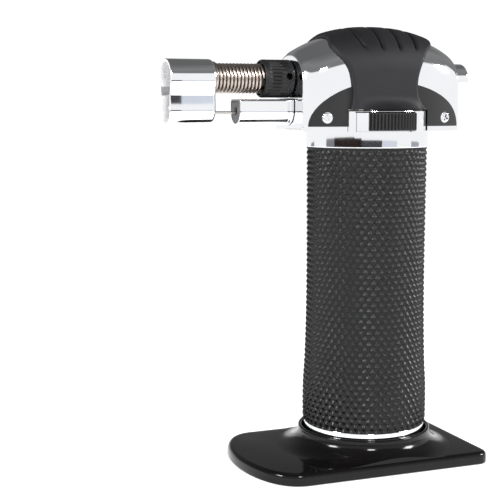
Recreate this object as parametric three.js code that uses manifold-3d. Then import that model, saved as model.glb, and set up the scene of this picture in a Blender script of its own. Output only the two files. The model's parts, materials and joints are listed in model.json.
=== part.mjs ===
// Butane torch for the jeweller's bench. A knurled fuel handle seats in a flared stand and carries a
// plated head with a rubber saddle grip, a side-pointing burner, its flame guard and its igniter.
// Millimetres. Z is the handle's axis, the burner points to -X, and the origin is on the bench.
import * as THREE from "three";
import { mergeVertices } from "three/addons/utils/BufferGeometryUtils.js";
import Module from "manifold-3d";

const wasm = await Module();
wasm.setup();

// ---- driving dimensions ----
const GAP = 0.3; // clearance between neighbouring pieces
const TURN = Math.PI * 2;

const STAND = {
  thick: 3.9,
  bevel: 1.5,
  side: 25.6, // half width
  rear: 33.5,
  nose: 45,
  noseStart: -31,
  rearCorner: 4,
  flareFoot: 29.5,
  rim: 21.8,
  rimTop: 9.8,
  socket: 20.4,
  socketFloor: 3.2,
};

const TANK = { r: 17.5, wall: 1, z0: 5.6, z1: 102, neck: 6 };
const SLEEVE = { z0: 12.1, z1: 102.2, bore: 17.7 };
const TRIM = { r: 19.9, bore: 17.8, z0: 3.6, z1: 12 };
const COLLAR = { r: 19.9, bore: 18.5, z0: 102.4, z1: 114 };

// The dial's two ribbed pads look out of two windows in the collar. Angles run from the -Y side.
const DIAL = {
  z0: 107.8,
  z1: 113.4,
  ring: 18.2,
  ringBore: 16.8,
  pad: 20.8,
  padFrom: -25,
  padTo: 21,
  turn: 11,
  spiderZ: 105.2,
  hubBore: 5.2,
};

const HEAD = {
  x: 27.5, // half length
  z0: 107.6,
  top: 139.2,
  endTop: 131.8,
  halfWidth: 14.6,
  endHalfWidth: 11,
  wall: 2.2,
  floor: 1.6,
  archHeight: 13,
};

const PLATE = { a: 26.2, b: 14, z0: 109.1, inset: 0.05, thick: 0.9, bed: 1.1 };
const SCREW = { x: 20.65, z: 111.8, head: 1.6, shank: 0.9 };
const SADDLE = { inner: -0.15, outer: -1.3, grooves: [-9.6, -2.1, 4.2, 10.5], grooveDepth: 0.8 };

const BURNER_Z = 123.9;
const AIR_COLLAR = { r: 5.9, bore: 5.2, x0: -37.5, x1: -27.9, hole: 1.1, holeX: -29.7 };
const TUBE = { r: 3.4, bore: 2.7, x0: -61, x1: -31 };
const COIL = { r: 4.2, wire: 0.45, x0: -52.3, x1: -37.9, turns: 11.5 };
const GUARD = { x0: -68.1, x1: -53.4, r: 6.1, z: 123.6, slot: 4.9, bottom: 109.5, wall: 0.8 };
const BARREL = { x0: -45.5, x1: -26, half: 4.3, top: 117.5, bottom: 109.7, wall: 0.7 };
const ELECTRODE_Z = 113.5;

const BUTTON = { r: 5.45, z: 123.7, x0: 26, x1: 34.9, travel: 4 };
const PIEZO = { x0: -1, x1: 11, half: 4.1, z0: 119.7, z1: 127.7 };
const SEAT = { x0: 18.7, x1: 19.9 };
const LEVER = { x: -4.5, z: 111.5, reach: 7.4, pin: 0.7 };
const STEM = { r: 1.2, flange: 2.9, flangeZ: 112.3 };

// ---- helpers ----

// A closed solid from a geometry: shared corners merged, empty triangles dropped, faces out.
function solidOf(geometry) {
  const bare = geometry.clone();
  bare.deleteAttribute("normal");
  bare.deleteAttribute("uv");
  const merged = mergeVertices(bare, 1e-4);
  const corners = merged.index.array;
  const kept = [];
  for (let i = 0; i < corners.length; i += 3) {
    const [a, b, c] = corners.slice(i, i + 3);
    if (a !== b && b !== c && c !== a) kept.push(a, b, c);
  }
  const vertProperties = merged.attributes.position.array;
  const make = (triangles) =>
    new wasm.Manifold(new wasm.Mesh({ numProp: 3, vertProperties, triVerts: new Uint32Array(triangles) }));
  const made = make(kept);
  return made.volume() > 0 ? made : make(kept.reverse());
}

// A manifold solid back as a flat-shaded geometry.
function geometryOf(solid) {
  const mesh = solid.getMesh();
  const stride = mesh.numProp;
  const places = new Float32Array(mesh.numVert * 3);
  for (let i = 0; i < mesh.numVert; i += 1) {
    places.set(mesh.vertProperties.subarray(i * stride, i * stride + 3), i * 3);
  }
  const geometry = new THREE.BufferGeometry();
  geometry.setAttribute("position", new THREE.BufferAttribute(places, 3));
  geometry.setIndex(new THREE.BufferAttribute(mesh.triVerts, 1));
  const flat = geometry.toNonIndexed();
  flat.computeVertexNormals();
  return flat;
}

const union = (first, ...rest) => rest.reduce((sum, solid) => sum.add(solid), first);
const cut = (first, ...rest) => rest.reduce((left, solid) => left.subtract(solid), first);

const vectors = (pairs) => pairs.map(([r, along]) => new THREE.Vector2(r, along));

// A profile of [radius, height] turned about Z.
function turned(pairs, segments = 32) {
  return solidOf(new THREE.LatheGeometry(vectors(pairs), segments).rotateX(Math.PI / 2));
}

// A profile of [radius, x] turned about the line parallel to X at the given height.
function turnedX(pairs, z, segments = 24) {
  const geometry = new THREE.LatheGeometry(vectors(pairs), segments).rotateZ(-Math.PI / 2);
  return solidOf(geometry.translate(0, 0, z));
}

// A plain rod or disc along X, Y or Z.
function rod(axis, radius, from, to, at = [0, 0, 0], segments = 24) {
  const geometry = new THREE.CylinderGeometry(radius, radius, to - from, segments);
  geometry.translate(0, (from + to) / 2, 0);
  if (axis === "x") geometry.rotateZ(-Math.PI / 2);
  if (axis === "z") geometry.rotateX(Math.PI / 2);
  return solidOf(geometry.translate(...at));
}

function box(x, y, z) {
  const geometry = new THREE.BoxGeometry(x[1] - x[0], y[1] - y[0], z[1] - z[0]);
  return solidOf(geometry.translate((x[0] + x[1]) / 2, (y[0] + y[1]) / 2, (z[0] + z[1]) / 2));
}

// A shape drawn in X and Z, extruded along Y between two values.
function prismY(shape, y0, y1, curveSegments = 16) {
  const geometry = new THREE.ExtrudeGeometry(shape, { depth: y1 - y0, bevelEnabled: false, curveSegments });
  return solidOf(geometry.rotateX(Math.PI / 2).translate(0, y1, 0));
}

// A shape drawn in Y and Z, extruded along X between two values.
function prismX(shape, x0, x1, steps = 1) {
  const settings = { depth: x1 - x0, bevelEnabled: false, steps, curveSegments: 10 };
  const geometry = new THREE.ExtrudeGeometry(shape, settings);
  const turn = new THREE.Matrix4().makeBasis(
    new THREE.Vector3(0, 1, 0),
    new THREE.Vector3(0, 0, 1),
    new THREE.Vector3(1, 0, 0),
  );
  return geometry.applyMatrix4(turn).translate(x0, 0, 0);
}

// A round section carried along a curve.
function tubeAlong(curve, radius, steps, sides = 8) {
  const ring = [];
  for (let i = 0; i < sides; i += 1) {
    const angle = (i / sides) * TURN;
    ring.push(new THREE.Vector2(Math.cos(angle) * radius, Math.sin(angle) * radius));
  }
  return solidOf(new THREE.ExtrudeGeometry(new THREE.Shape(ring), { steps, extrudePath: curve }));
}

const through = (points) => new THREE.CatmullRomCurve3(points.map((p) => new THREE.Vector3(...p)));

// A coil about a line parallel to X.
class Coil extends THREE.Curve {
  constructor(radius, x0, x1, turns, z) {
    super();
    Object.assign(this, { radius, x0, x1, turns, z });
  }

  getPoint(t, target = new THREE.Vector3()) {
    const angle = t * this.turns * TURN;
    const x = this.x0 + (this.x1 - this.x0) * t;
    return target.set(x, Math.cos(angle) * this.radius, this.z + Math.sin(angle) * this.radius);
  }
}

// A stretch of a ring about Z, between two radii and two angles in degrees from the -Y side.
function ringSector(r0, r1, from, to, z0, z1) {
  const a0 = ((from - 90) / 360) * TURN;
  const a1 = ((to - 90) / 360) * TURN;
  const shape = new THREE.Shape();
  shape.absarc(0, 0, r1, a0, a1, false);
  shape.absarc(0, 0, r0, a1, a0, true);
  const settings = { depth: z1 - z0, bevelEnabled: false, curveSegments: 8 };
  const geometry = new THREE.ExtrudeGeometry(shape, settings);
  return solidOf(geometry.translate(0, 0, z0));
}

const root = new THREE.Group();

function addPiece(name, solid, material) {
  const mesh = new THREE.Mesh(geometryOf(solid), material);
  mesh.name = name;
  root.add(mesh);
}

// ---- materials ----
const finish = (color, roughness, metalness) =>
  new THREE.MeshStandardMaterial({ color, roughness, metalness });
const chrome = finish(0xe6e8ec, 0.08, 1);
const steel = finish(0xb5b1aa, 0.3, 1);
const brass = finish(0xc8a552, 0.3, 1);
const aluminium = finish(0xc4c6c8, 0.4, 1);
const glossBlack = finish(0x1b1a1b, 0.15, 0);
const knurlBlack = finish(0x18181a, 0.4, 0);
const rubber = finish(0x343437, 0.7, 0);
const plateBlack = finish(0x2c2c2f, 0.6, 0);
const innerPlastic = finish(0x2a2b2d, 0.6, 0);
const ceramic = finish(0xe8e4da, 0.5, 0);
const plugGrey = finish(0x6d6d70, 0.7, 0);

// ---- stand ----

// Plan of the plate: straight sides and rear, with a round nose.
function standOutline(inset) {
  const side = STAND.side - inset;
  const rear = STAND.rear - inset;
  const corner = STAND.rearCorner;
  const nose = -STAND.nose + inset;
  const start = STAND.noseStart;
  const shape = new THREE.Shape();
  shape.moveTo(start, -side);
  shape.lineTo(rear - corner, -side);
  shape.absarc(rear - corner, -side + corner, corner, -Math.PI / 2, 0, false);
  shape.absarc(rear - corner, side - corner, corner, 0, Math.PI / 2, false);
  shape.lineTo(start, side);
  shape.bezierCurveTo(start - 9.5, side, nose, 13, nose, 0);
  shape.bezierCurveTo(nose, -13, start - 9.5, -side, start, -side);
  return shape;
}

function standPlate() {
  const shape = standOutline(STAND.bevel);
  const settings = {
    depth: STAND.thick - STAND.bevel,
    bevelThickness: STAND.bevel,
    bevelSize: STAND.bevel,
    bevelSegments: 2,
    curveSegments: 7,
  };
  const rounded = solidOf(new THREE.ExtrudeGeometry(shape, settings));
  return rounded.intersect(box([-60, 60], [-40, 40], [0, STAND.thick]));
}

function makeStand() {
  const flareRun = STAND.flareFoot - STAND.rim;
  const flareRise = STAND.rimTop - STAND.thick;
  const profile = [[0, 0.6], [STAND.flareFoot, 0.6]];
  const steps = 5;
  for (let i = 0; i <= steps; i += 1) {
    const angle = (i / steps) * (Math.PI / 2);
    const r = STAND.flareFoot - flareRun * Math.sin(angle);
    profile.push([r, STAND.thick + flareRise * (1 - Math.cos(angle))]);
  }
  profile.push([STAND.rim - 0.3, STAND.rimTop + 0.5], [STAND.socket + 0.3, STAND.rimTop + 0.5]);
  profile.push([STAND.socket, STAND.rimTop], [STAND.socket, STAND.socketFloor], [0, STAND.socketFloor]);
  const socket = rod("z", STAND.socket, STAND.socketFloor, STAND.rimTop + 2, [0, 0, 0], 36);
  const settings = { depth: 20, bevelEnabled: false, curveSegments: 7 };
  const reach = new THREE.ExtrudeGeometry(standOutline(STAND.bevel), settings);
  const flare = turned(profile, 36).intersect(solidOf(reach));
  const body = union(cut(standPlate(), socket), flare);
  addPiece("base_stand", body, glossBlack);
}

// ---- handle ----

function makeHandle() {
  const { r, wall, z0, z1, neck } = TANK;
  const inner = r - wall;
  const tank = [
    [4.4, z0], [r - 1, z0], [r, z0 + 1], [r, z1 - 1.5], [r - 1.5, z1], [neck, z1],
    [neck, z1 - wall], [inner - 1.5, z1 - wall], [inner, z1 - 2.5], [inner, z0 + 2], [inner - 1, z0 + wall],
    [4.4, z0 + wall], [4.4, z0],
  ];
  addPiece("fuel_tank", turned(tank, 24), aluminium);

  // The grip sleeve is widest at its foot and slightly waisted above it.
  const { bore } = SLEEVE;
  const sleeve = [
    [bore, SLEEVE.z0], [20, SLEEVE.z0], [20.45, SLEEVE.z0 + 1], [20.4, 24], [19.9, 33], [19.5, 48],
    [19.35, 66], [19.4, 84], [19.5, SLEEVE.z1], [bore, SLEEVE.z1], [bore, SLEEVE.z0],
  ];
  addPiece("tank_sleeve", turned(sleeve, 32), knurlBlack);

  const ring = [
    [TRIM.bore, TRIM.z0], [TRIM.r - 0.6, TRIM.z0], [TRIM.r, TRIM.z0 + 0.6], [TRIM.r, TRIM.z1],
    [TRIM.bore, TRIM.z1], [TRIM.bore, TRIM.z0],
  ];
  addPiece("lower_trim_ring", turned(ring, 32), chrome);
  const plateRim = TRIM.bore - GAP;
  const plate = [[5, 4], [plateRim, 4], [plateRim, 5.3], [5, 5.3], [5, 4]];
  addPiece("bottom_plate", turned(plate, 24), innerPlastic);

  const refill = [[1.7, 5], [4.1, 5], [4.1, 14], [3, 15.5], [1.7, 15.5], [1.7, 5]];
  addPiece("refill_valve_body", turned(refill, 16), brass);
  const stem = [[0, 4.4], [1.1, 4.4], [1.1, 10], [1.4, 10], [1.4, 12], [0, 12]];
  addPiece("refill_stem", turned(stem, 12), brass);
  const dip = [[0.9, 22], [1.6, 22], [1.6, 91.5], [0.9, 91.5], [0.9, 22]];
  addPiece("feed_wick_tube", turned(dip, 12), ceramic);
}

function makeCollar() {
  const { r, bore, z0, z1 } = COLLAR;
  const band = [
    [bore, z0], [r - 0.3, z0], [r, z0 + 0.3], [r, z1 - 0.3], [r - 0.3, z1], [bore, z1], [bore, z0],
  ];
  const windowFrom = DIAL.padFrom - DIAL.turn - 1;
  const windowTo = DIAL.padTo + 1;
  const low = DIAL.z0 - GAP;
  const high = DIAL.z1 + GAP;
  const near = ringSector(bore - 2, r + 2, windowFrom, windowTo, low, high);
  const far = ringSector(bore - 2, r + 2, windowFrom + 180, windowTo + 180, low, high);
  addPiece("collar_ring", cut(turned(band, 36), near, far), chrome);
}

// ---- head ----

// Half width and top height of the head at a place along its length.
const headHalfWidth = (x) =>
  HEAD.halfWidth - (HEAD.halfWidth - HEAD.endHalfWidth) * Math.abs(x / HEAD.x) ** 6;
const headTop = (x) => HEAD.top - (HEAD.top - HEAD.endTop) * Math.abs(x / HEAD.x) ** 2.3;

// The head's block, grown or shrunk by an offset: an arch carried along X and fitted to both curves.
function headBlock(offset, x0 = -HEAD.x, x1 = HEAD.x, z0 = HEAD.z0) {
  const points = [];
  const steps = 14;
  points.push(new THREE.Vector2(-1, 0));
  for (let i = 0; i <= steps; i += 1) {
    const angle = Math.PI - (i / steps) * Math.PI;
    const across = Math.sign(Math.cos(angle)) * Math.abs(Math.cos(angle)) ** 0.95;
    points.push(new THREE.Vector2(across, 1 + Math.abs(Math.sin(angle)) ** 0.95));
  }
  points.push(new THREE.Vector2(1, 0));
  const geometry = prismX(new THREE.Shape(points), x0, x1, 12);
  const place = geometry.attributes.position;
  for (let i = 0; i < place.count; i += 1) {
    const x = place.getX(i);
    const top = headTop(x) - offset;
    const rise = (HEAD.archHeight * (headTop(x) - HEAD.z0)) / (HEAD.top - HEAD.z0) - offset;
    const spring = top - rise;
    const v = place.getZ(i);
    place.setY(i, place.getY(i) * (headHalfWidth(x) - offset));
    place.setZ(i, v <= 1 ? z0 + v * (spring - z0) : spring + (v - 1) * rise);
  }
  return solidOf(geometry);
}

// Outline of the side plates: half an ellipse standing on its long side.
function plateOutline(grow) {
  const shape = new THREE.Shape();
  shape.moveTo(PLATE.a + grow, PLATE.z0 - grow);
  shape.absellipse(0, PLATE.z0 - grow, PLATE.a + grow, PLATE.b + 2 * grow, 0, Math.PI, false, 0);
  shape.closePath();
  return shape;
}

const SIDES = [["near", -1], ["far", 1]];

function plateBlock(side, grow) {
  const [y0, y1] = side < 0 ? [-20, -5] : [5, 20];
  return prismY(plateOutline(grow), y0, y1);
}

function makeHead() {
  const collarHole = rod("z", COLLAR.r + GAP, 100, COLLAR.z1 + GAP, [0, 0, 0], 36);
  const burnerHole = rod("x", 5.2, -40, -20, [0, 0, BURNER_Z]);
  const buttonHole = rod("x", BUTTON.r + GAP, 20, 40, [0, 0, BUTTON.z], 28);
  const hollow = headBlock(HEAD.wall, -HEAD.x + 2, HEAD.x - 2, HEAD.z0 + HEAD.floor);
  let shell = cut(headBlock(0), hollow, collarHole, burnerHole, buttonHole);
  shell = cut(shell, solidOf(prismX(barrelOutline(GAP), -HEAD.x - 5, -HEAD.x + 5)));
  const bed = cut(headBlock(-2), headBlock(PLATE.bed));
  for (const [, side] of SIDES) {
    shell = cut(shell, bed.intersect(plateBlock(side, GAP)));
    for (const x of [-SCREW.x, SCREW.x]) {
      shell = cut(shell, rod("y", SCREW.shank + GAP, 8 * side - 8, 8 * side + 8, [x, 0, SCREW.z], 12));
    }
  }
  addPiece("head_shell", shell, chrome);
}

function makePlates() {
  const skin = cut(headBlock(PLATE.inset), headBlock(PLATE.inset + PLATE.thick));
  const collarHole = rod("z", COLLAR.r + GAP, 100, COLLAR.z1 + GAP, [0, 0, 0], 36);
  for (const [word, side] of SIDES) {
    let plate = cut(skin.intersect(plateBlock(side, 0)), collarHole);
    for (const x of [-SCREW.x, SCREW.x]) {
      plate = cut(plate, rod("y", SCREW.head + 0.2, 8 * side - 8, 8 * side + 8, [x, 0, SCREW.z], 16));
      addPlateScrew(word, side, x);
    }
    addPiece(`side_plate_${word}`, plate, plateBlack);
  }
}

// A cross-recessed screw, its head flush with the plate.
function addPlateScrew(word, side, x) {
  const face = headHalfWidth(x) + 0.25;
  const profile = [
    [0, face], [SCREW.head * 0.7, face], [SCREW.head, face - 0.3], [SCREW.head, face - 0.95],
    [SCREW.shank, face - 1.05], [SCREW.shank, face - 4], [0, face - 4],
  ];
  let screw = turned(profile, 16);
  screw = cut(screw, box([-0.9, 0.9], [-0.2, 0.2], [face - 0.7, face + 1]));
  screw = cut(screw, box([-0.2, 0.2], [-0.9, 0.9], [face - 0.7, face + 1]));
  const geometry = geometryOf(screw).rotateX((-side * Math.PI) / 2).translate(x, 0, SCREW.z);
  addPiece(`plate_screw_${word}_${x < 0 ? "front" : "rear"}`, solidOf(geometry), chrome);
}

// Side view of the saddle grip: broad over the top, narrow at the waist, flared at its foot.
function saddleOutline() {
  const foot = [13.4, COLLAR.z1 + GAP];
  const rear = [
    [19.2, 145], [19.2, 135.6], [17.6, 134], [15.2, 132.6], [13.2, 130.6], [11, 126.8], [10.2, 123.5],
    [10.2, 119], [11.4, 116.2], foot,
  ];
  const front = [
    [17.4, 145], [17.6, 136.5], [18.2, 134], [17.6, 132], [16.2, 130], [14.6, 127.8], [13.4, 124.8],
    [12.7, 120], [12.6, 116.8], foot,
  ];
  const left = front.map(([x, z]) => [-x, z]).reverse();
  return new THREE.Shape(vectors(rear.concat(left)));
}

function makeSaddle() {
  const reach = SADDLE.outer;
  const skin = cut(headBlock(reach), headBlock(SADDLE.inner));
  const flare = [
    [14, 114.3], [19.6, 114.3], [19.7, 115], [17.6, 115.9], [16.2, 118.3], [15.6, 122], [14, 122],
    [14, 114.3],
  ];
  const foot = cut(turned(flare, 36), headBlock(SADDLE.inner));
  let saddle = union(skin, foot).intersect(prismY(saddleOutline(), -30, 30));
  const groove = cut(headBlock(reach - 2), headBlock(reach + SADDLE.grooveDepth));
  for (const x of SADDLE.grooves) {
    const lean = x < 0 ? 2 : 0.6;
    const outline = [[x - 0.7, 145], [x + 0.7, 145], [x + lean + 0.5, 132.3], [x + lean - 0.5, 132.3]];
    const slot = prismY(new THREE.Shape(vectors(outline)), -30, 30);
    saddle = cut(saddle, groove.intersect(slot));
  }
  addPiece("grip_saddle", saddle, rubber);
}

// ---- burner ----

function makeBurner() {
  const socket = [
    [3.1, -22.6], [6.4, -22.6], [6.4, -25.2], [4.9, -25.2], [4.9, -37.2], [3.6, -37.2],
    [3.6, -30.4], [3.1, -30.4], [3.1, -22.6],
  ];
  const airHole = rod("y", AIR_COLLAR.hole, -8, 0, [AIR_COLLAR.holeX, 0, BURNER_Z + 0.6], 12);
  const wallHole = cut(airHole, rod("x", 3.2, -40, -20, [0, 0, BURNER_Z]));
  addPiece("burner_socket", cut(turnedX(socket, BURNER_Z), wallHole), brass);

  const jet = [
    [0, -27.5], [0.8, -27.5], [1.2, -26], [2.8, -25], [2.8, -21.4], [1.6, -21.4], [1.6, -20], [0.55, -20],
    [0.55, -24], [0, -24],
  ];
  addPiece("gas_jet", turnedX(jet, BURNER_Z, 16), brass);
  const tube = [
    [TUBE.bore, TUBE.x0], [TUBE.r, TUBE.x0], [TUBE.r, TUBE.x1], [TUBE.bore, TUBE.x1], [TUBE.bore, TUBE.x0],
  ];
  addPiece("burner_tube", turnedX(tube, BURNER_Z), steel);

  let holder = rod("x", TUBE.bore - 0.1, -59.8, -57.8, [0, 0, BURNER_Z]);
  for (let i = 0; i < 6; i += 1) {
    const angle = (i / 6) * TURN;
    const at = [0, Math.cos(angle) * 1.6, BURNER_Z + Math.sin(angle) * 1.6];
    holder = cut(holder, rod("x", 0.4, -61, -57, at, 6));
  }
  addPiece("flame_holder", holder, steel);

  const coil = new Coil(COIL.r, COIL.x0, COIL.x1, COIL.turns, BURNER_Z);
  addPiece("heat_coil", tubeAlong(coil, COIL.wire, Math.round(COIL.turns * 9), 5), steel);
  const flange = [[3.6, -53.2], [5.1, -53.2], [5.1, -52.9], [3.6, -52.9], [3.6, -53.2]];
  addPiece("coil_flange", turnedX(flange, BURNER_Z), steel);
}

function makeAirCollar() {
  const { r, bore, x0, x1, hole, holeX } = AIR_COLLAR;
  const profile = [[bore, x0], [r - 0.7, x0], [r, x0 + 0.9], [r, x1], [bore, x1], [bore, x0]];
  const airHole = rod("y", hole, -8, 0, [holeX, 0, BURNER_Z + 0.6], 12);
  addPiece("air_collar", cut(turnedX(profile, BURNER_Z, 28), airHole), plateBlack);
}

// Keyhole section of the flame guard: a round bore over a narrower slot with a round bottom.
function guardOutline(inset) {
  const r = GUARD.r - inset;
  const half = GUARD.slot - inset;
  const meet = Math.asin(half / r);
  const shape = new THREE.Shape();
  shape.absarc(0, GUARD.z, r, -Math.PI / 2 + meet, Math.PI * 1.5 - meet, false);
  shape.absarc(0, GUARD.bottom + GUARD.slot, half, Math.PI, TURN, false);
  shape.closePath();
  return shape;
}

function makeGuard() {
  const body = solidOf(prismX(guardOutline(0), GUARD.x0, GUARD.x1));
  const mouth = solidOf(prismX(guardOutline(GUARD.wall), GUARD.x0 - 1, GUARD.x1 - 1));
  const tubeHole = rod("x", TUBE.r + 0.2, -60, -50, [0, 0, BURNER_Z]);
  const wireHole = rod("x", 1.3, -60, -50, [0, 0, ELECTRODE_Z], 12);
  addPiece("flame_guard", cut(body, mouth, tubeHole, wireHole), chrome);
}

// ---- igniter ----

// Section of the igniter barrel: flat on top and round below.
function barrelOutline(grow) {
  const half = BARREL.half + grow;
  const shape = new THREE.Shape();
  shape.moveTo(half, BARREL.top + grow);
  shape.lineTo(-half, BARREL.top + grow);
  shape.absarc(0, BARREL.bottom + BARREL.half, half, Math.PI, TURN, false);
  shape.closePath();
  return shape;
}

function makeIgniter() {
  const barrel = cut(
    union(solidOf(prismX(barrelOutline(0), BARREL.x0, BARREL.x1)),
      solidOf(prismX(barrelOutline(0.25), -HEAD.x - 1.6, -HEAD.x - 0.15))),
    solidOf(prismX(barrelOutline(-BARREL.wall), BARREL.x0 - 1, BARREL.x1 + 1)),
  );
  addPiece("igniter_barrel", barrel, chrome);

  const plug = solidOf(prismX(barrelOutline(-BARREL.wall - 0.15), BARREL.x0 + 0.1, BARREL.x0 + 14));
  const mouth = rod("x", 1.25, BARREL.x0 - 1, BARREL.x0 + 3, [0, 0, ELECTRODE_Z + 0.6], 16);
  const wireBore = rod("x", 0.75, BARREL.x0 - 1, BARREL.x0 + 20, [0, 0, ELECTRODE_Z], 12);
  addPiece("barrel_plug", cut(plug, mouth, wireBore), plugGrey);

  const wire = through([
    [-31.2, 0, ELECTRODE_Z], [-45, 0, ELECTRODE_Z], [-60, 0, ELECTRODE_Z], [-64.5, 0, ELECTRODE_Z + 0.6],
    [-66.6, 0, ELECTRODE_Z + 2.6], [-67, 0, ELECTRODE_Z + 5.3],
  ]);
  addPiece("electrode_wire", tubeAlong(wire, 0.45, 22, 6), steel);

  const sleeve = cut(box([PIEZO.x0, PIEZO.x1], [-PIEZO.half, PIEZO.half], [PIEZO.z0, PIEZO.z1]),
    rod("x", 2.9, PIEZO.x0 + 1.6, PIEZO.x1 + 1, [0, 0, BUTTON.z]));
  addPiece("piezo_body", sleeve, innerPlastic);

  const lead = through([
    [PIEZO.x0 - 1, 0, 125.6], [-6, -2.5, 127], [-12, -6, 126], [-19, -8, 120.5], [-24, -4, 115.5],
    [-28, -0.6, 113.7], [-30.8, 0, ELECTRODE_Z],
  ]);
  addPiece("igniter_lead", tubeAlong(lead, 0.7, 22, 6), rubber);
}

function makeButton() {
  const { r, z, x0, x1 } = BUTTON;
  const cap = [
    [0, x1], [r - 2, x1 - 0.1], [r - 0.5, x1 - 0.5], [r, x1 - 1.2], [r, x0], [r - 1.2, x0],
    [r - 1.2, x1 - 2.5], [2, x1 - 2.5], [2, x0 - 1], [0, x0 - 1],
  ];
  addPiece("ignition_button", turnedX(cap, z, 24), chrome);

  const shaft = rod("x", 2.4, PIEZO.x1 - 5, x0 - 1.2, [0, 0, z], 16);
  const lug = box([16.8, 18.4], [-1.5, 1.5], [118.2, z]);
  const bar = box([-3.4, 18.4], [-1.5, 1.5], [118.2, 119.3]);
  addPiece("ignition_plunger", union(shaft, lug, bar), innerPlastic);

  const spring = new Coil(3.5, SEAT.x1 + 0.7, x1 - 3.1, 7, z);
  addPiece("button_spring", tubeAlong(spring, 0.35, 7 * 8, 5), steel);
}

// ---- gas valve, lever and chassis ----

function makeValve() {
  const body = [
    [1.5, 93], [3.6, 93], [3.6, 96], [5.7, 96], [5.7, 103.4], [4.6, 103.4], [4.6, 109.6], [1.5, 109.6],
    [1.5, 93],
  ];
  const outlet = rod("y", 1.1, 3, 6.2, [0, 0, 108.4], 12);
  const port = rod("y", 0.5, 2, 8, [0, 0, 108.4], 8);
  addPiece("gas_valve_body", cut(union(turned(body, 24), cut(outlet, rod("z", 2, 100, 112))), port), brass);
  const seal = [[4.9, 103.7], [5.9, 103.7], [5.9, 104.5], [4.9, 104.5], [4.9, 103.7]];
  addPiece("valve_o_ring", turned(seal, 20), rubber);
  const low = STEM.flangeZ;
  const stem = [
    [0, 98], [STEM.r, 98], [STEM.r, low], [STEM.flange, low], [STEM.flange, low + 1], [STEM.r, low + 1],
    [STEM.r, 115.5], [0, 115.5],
  ];
  addPiece("valve_stem", turned(stem, 20), brass);
}

function makeLever() {
  const { x, z, reach } = LEVER;
  const arm = union(
    box([x - 0.8, x + 0.8], [-1.4, 1.4], [z, z + reach]),
    rod("y", 0.8, -1.4, 1.4, [x, 0, z + reach], 12),
    rod("y", 1.7, -2.6, 2.6, [x, 0, z], 16),
    box([x, -1.2], [1.6, 2.6], [z - 0.4, z + 0.4]),
    box([x, -1.2], [-2.6, -1.6], [z - 0.4, z + 0.4]),
  );
  addPiece("gas_lever", cut(arm, rod("y", LEVER.pin + GAP, -5, 5, [x, 0, z], 16)), steel);
  addPiece("lever_pin", rod("y", LEVER.pin, -4.3, 4.3, [x, 0, z], 12), steel);
}

function makeChassis() {
  const disc = turned([[6, 102.5], [18.2, 102.5], [18.2, 103.9], [6, 103.9], [6, 102.5]], 24);
  const parts = [disc];
  for (const side of [-1, 1]) {
    const wide = (y0, y1) => (side < 0 ? [-y1, -y0] : [y0, y1]);
    parts.push(box([LEVER.x - 3.5, LEVER.x + 1.1], wide(7.2, 8.4), [103.2, 110]));
    parts.push(box([LEVER.x - 1.5, LEVER.x + 1.1], wide(3.1, 8.4), [109.6, 113.2]));
    parts.push(box([PIEZO.x1 - 5, PIEZO.x1], wide(6.3, 7.5), [103.2, 119]));
    parts.push(box([PIEZO.x0 + 1, PIEZO.x1], wide(2.6, 7.5), [118, PIEZO.z0 - 0.05]));
    parts.push(box([PIEZO.x0 + 1, SEAT.x1], wide(PIEZO.half + 0.2, PIEZO.half + 1.4), [118, 126]));
  }
  const seat = box([SEAT.x0, SEAT.x1], [-PIEZO.half - 1.4, PIEZO.half + 1.4], [118, 128]);
  parts.push(cut(seat, rod("x", 2.7, SEAT.x0 - 1, SEAT.x1 + 1, [0, 0, BUTTON.z])));
  const frame = union(...parts);
  const pinHole = rod("y", LEVER.pin + 0.1, -5.5, 5.5, [LEVER.x, 0, LEVER.z], 12);
  addPiece("chassis", cut(frame, pinHole), innerPlastic);

  const tube = through([
    [0, 6.9, 108.4], [-1, 9.6, 109.6], [-7, 10.6, 115], [-14, 6.5, 122], [-17, 1.4, 123.9],
    [-19.4, 0, BURNER_Z],
  ]);
  addPiece("gas_tube", tubeAlong(tube, 0.9, 18, 6), ceramic);
}

function makeDial() {
  const { z0, z1, ring, ringBore, pad, padFrom, padTo, spiderZ, hubBore } = DIAL;
  const hoop = [[ringBore, spiderZ], [ring, spiderZ], [ring, z1], [ringBore, z1], [ringBore, spiderZ]];
  const hubTop = spiderZ + 1.8;
  const hub = [[hubBore, spiderZ], [6.8, spiderZ], [6.8, hubTop], [hubBore, hubTop], [hubBore, spiderZ]];
  let dial = union(turned(hoop, 36), turned(hub, 20));
  for (const turn of [0, 180]) {
    const side = turn ? 1 : -1;
    const [y0, y1] = side < 0 ? [-17.5, -6] : [6, 17.5];
    dial = union(dial, box([-1.5, 1.5], [y0, y1], [spiderZ, spiderZ + 1.2]));
    dial = union(dial, ringSector(ring - 1, pad, padFrom + turn, padTo + turn, z0, z1));
  }
  addPiece("gas_dial", dial, plateBlack);
}

makeStand();
makeHandle();
makeCollar();
makeHead();
makePlates();
makeSaddle();
makeBurner();
makeAirCollar();
makeGuard();
makeIgniter();
makeButton();
makeValve();
makeLever();
makeChassis();
makeDial();

export default root;
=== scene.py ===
"""Butane torch with its stand: the looks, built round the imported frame."""

import json
import math

import bmesh
import bpy
from mathutils import Matrix, Vector


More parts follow.
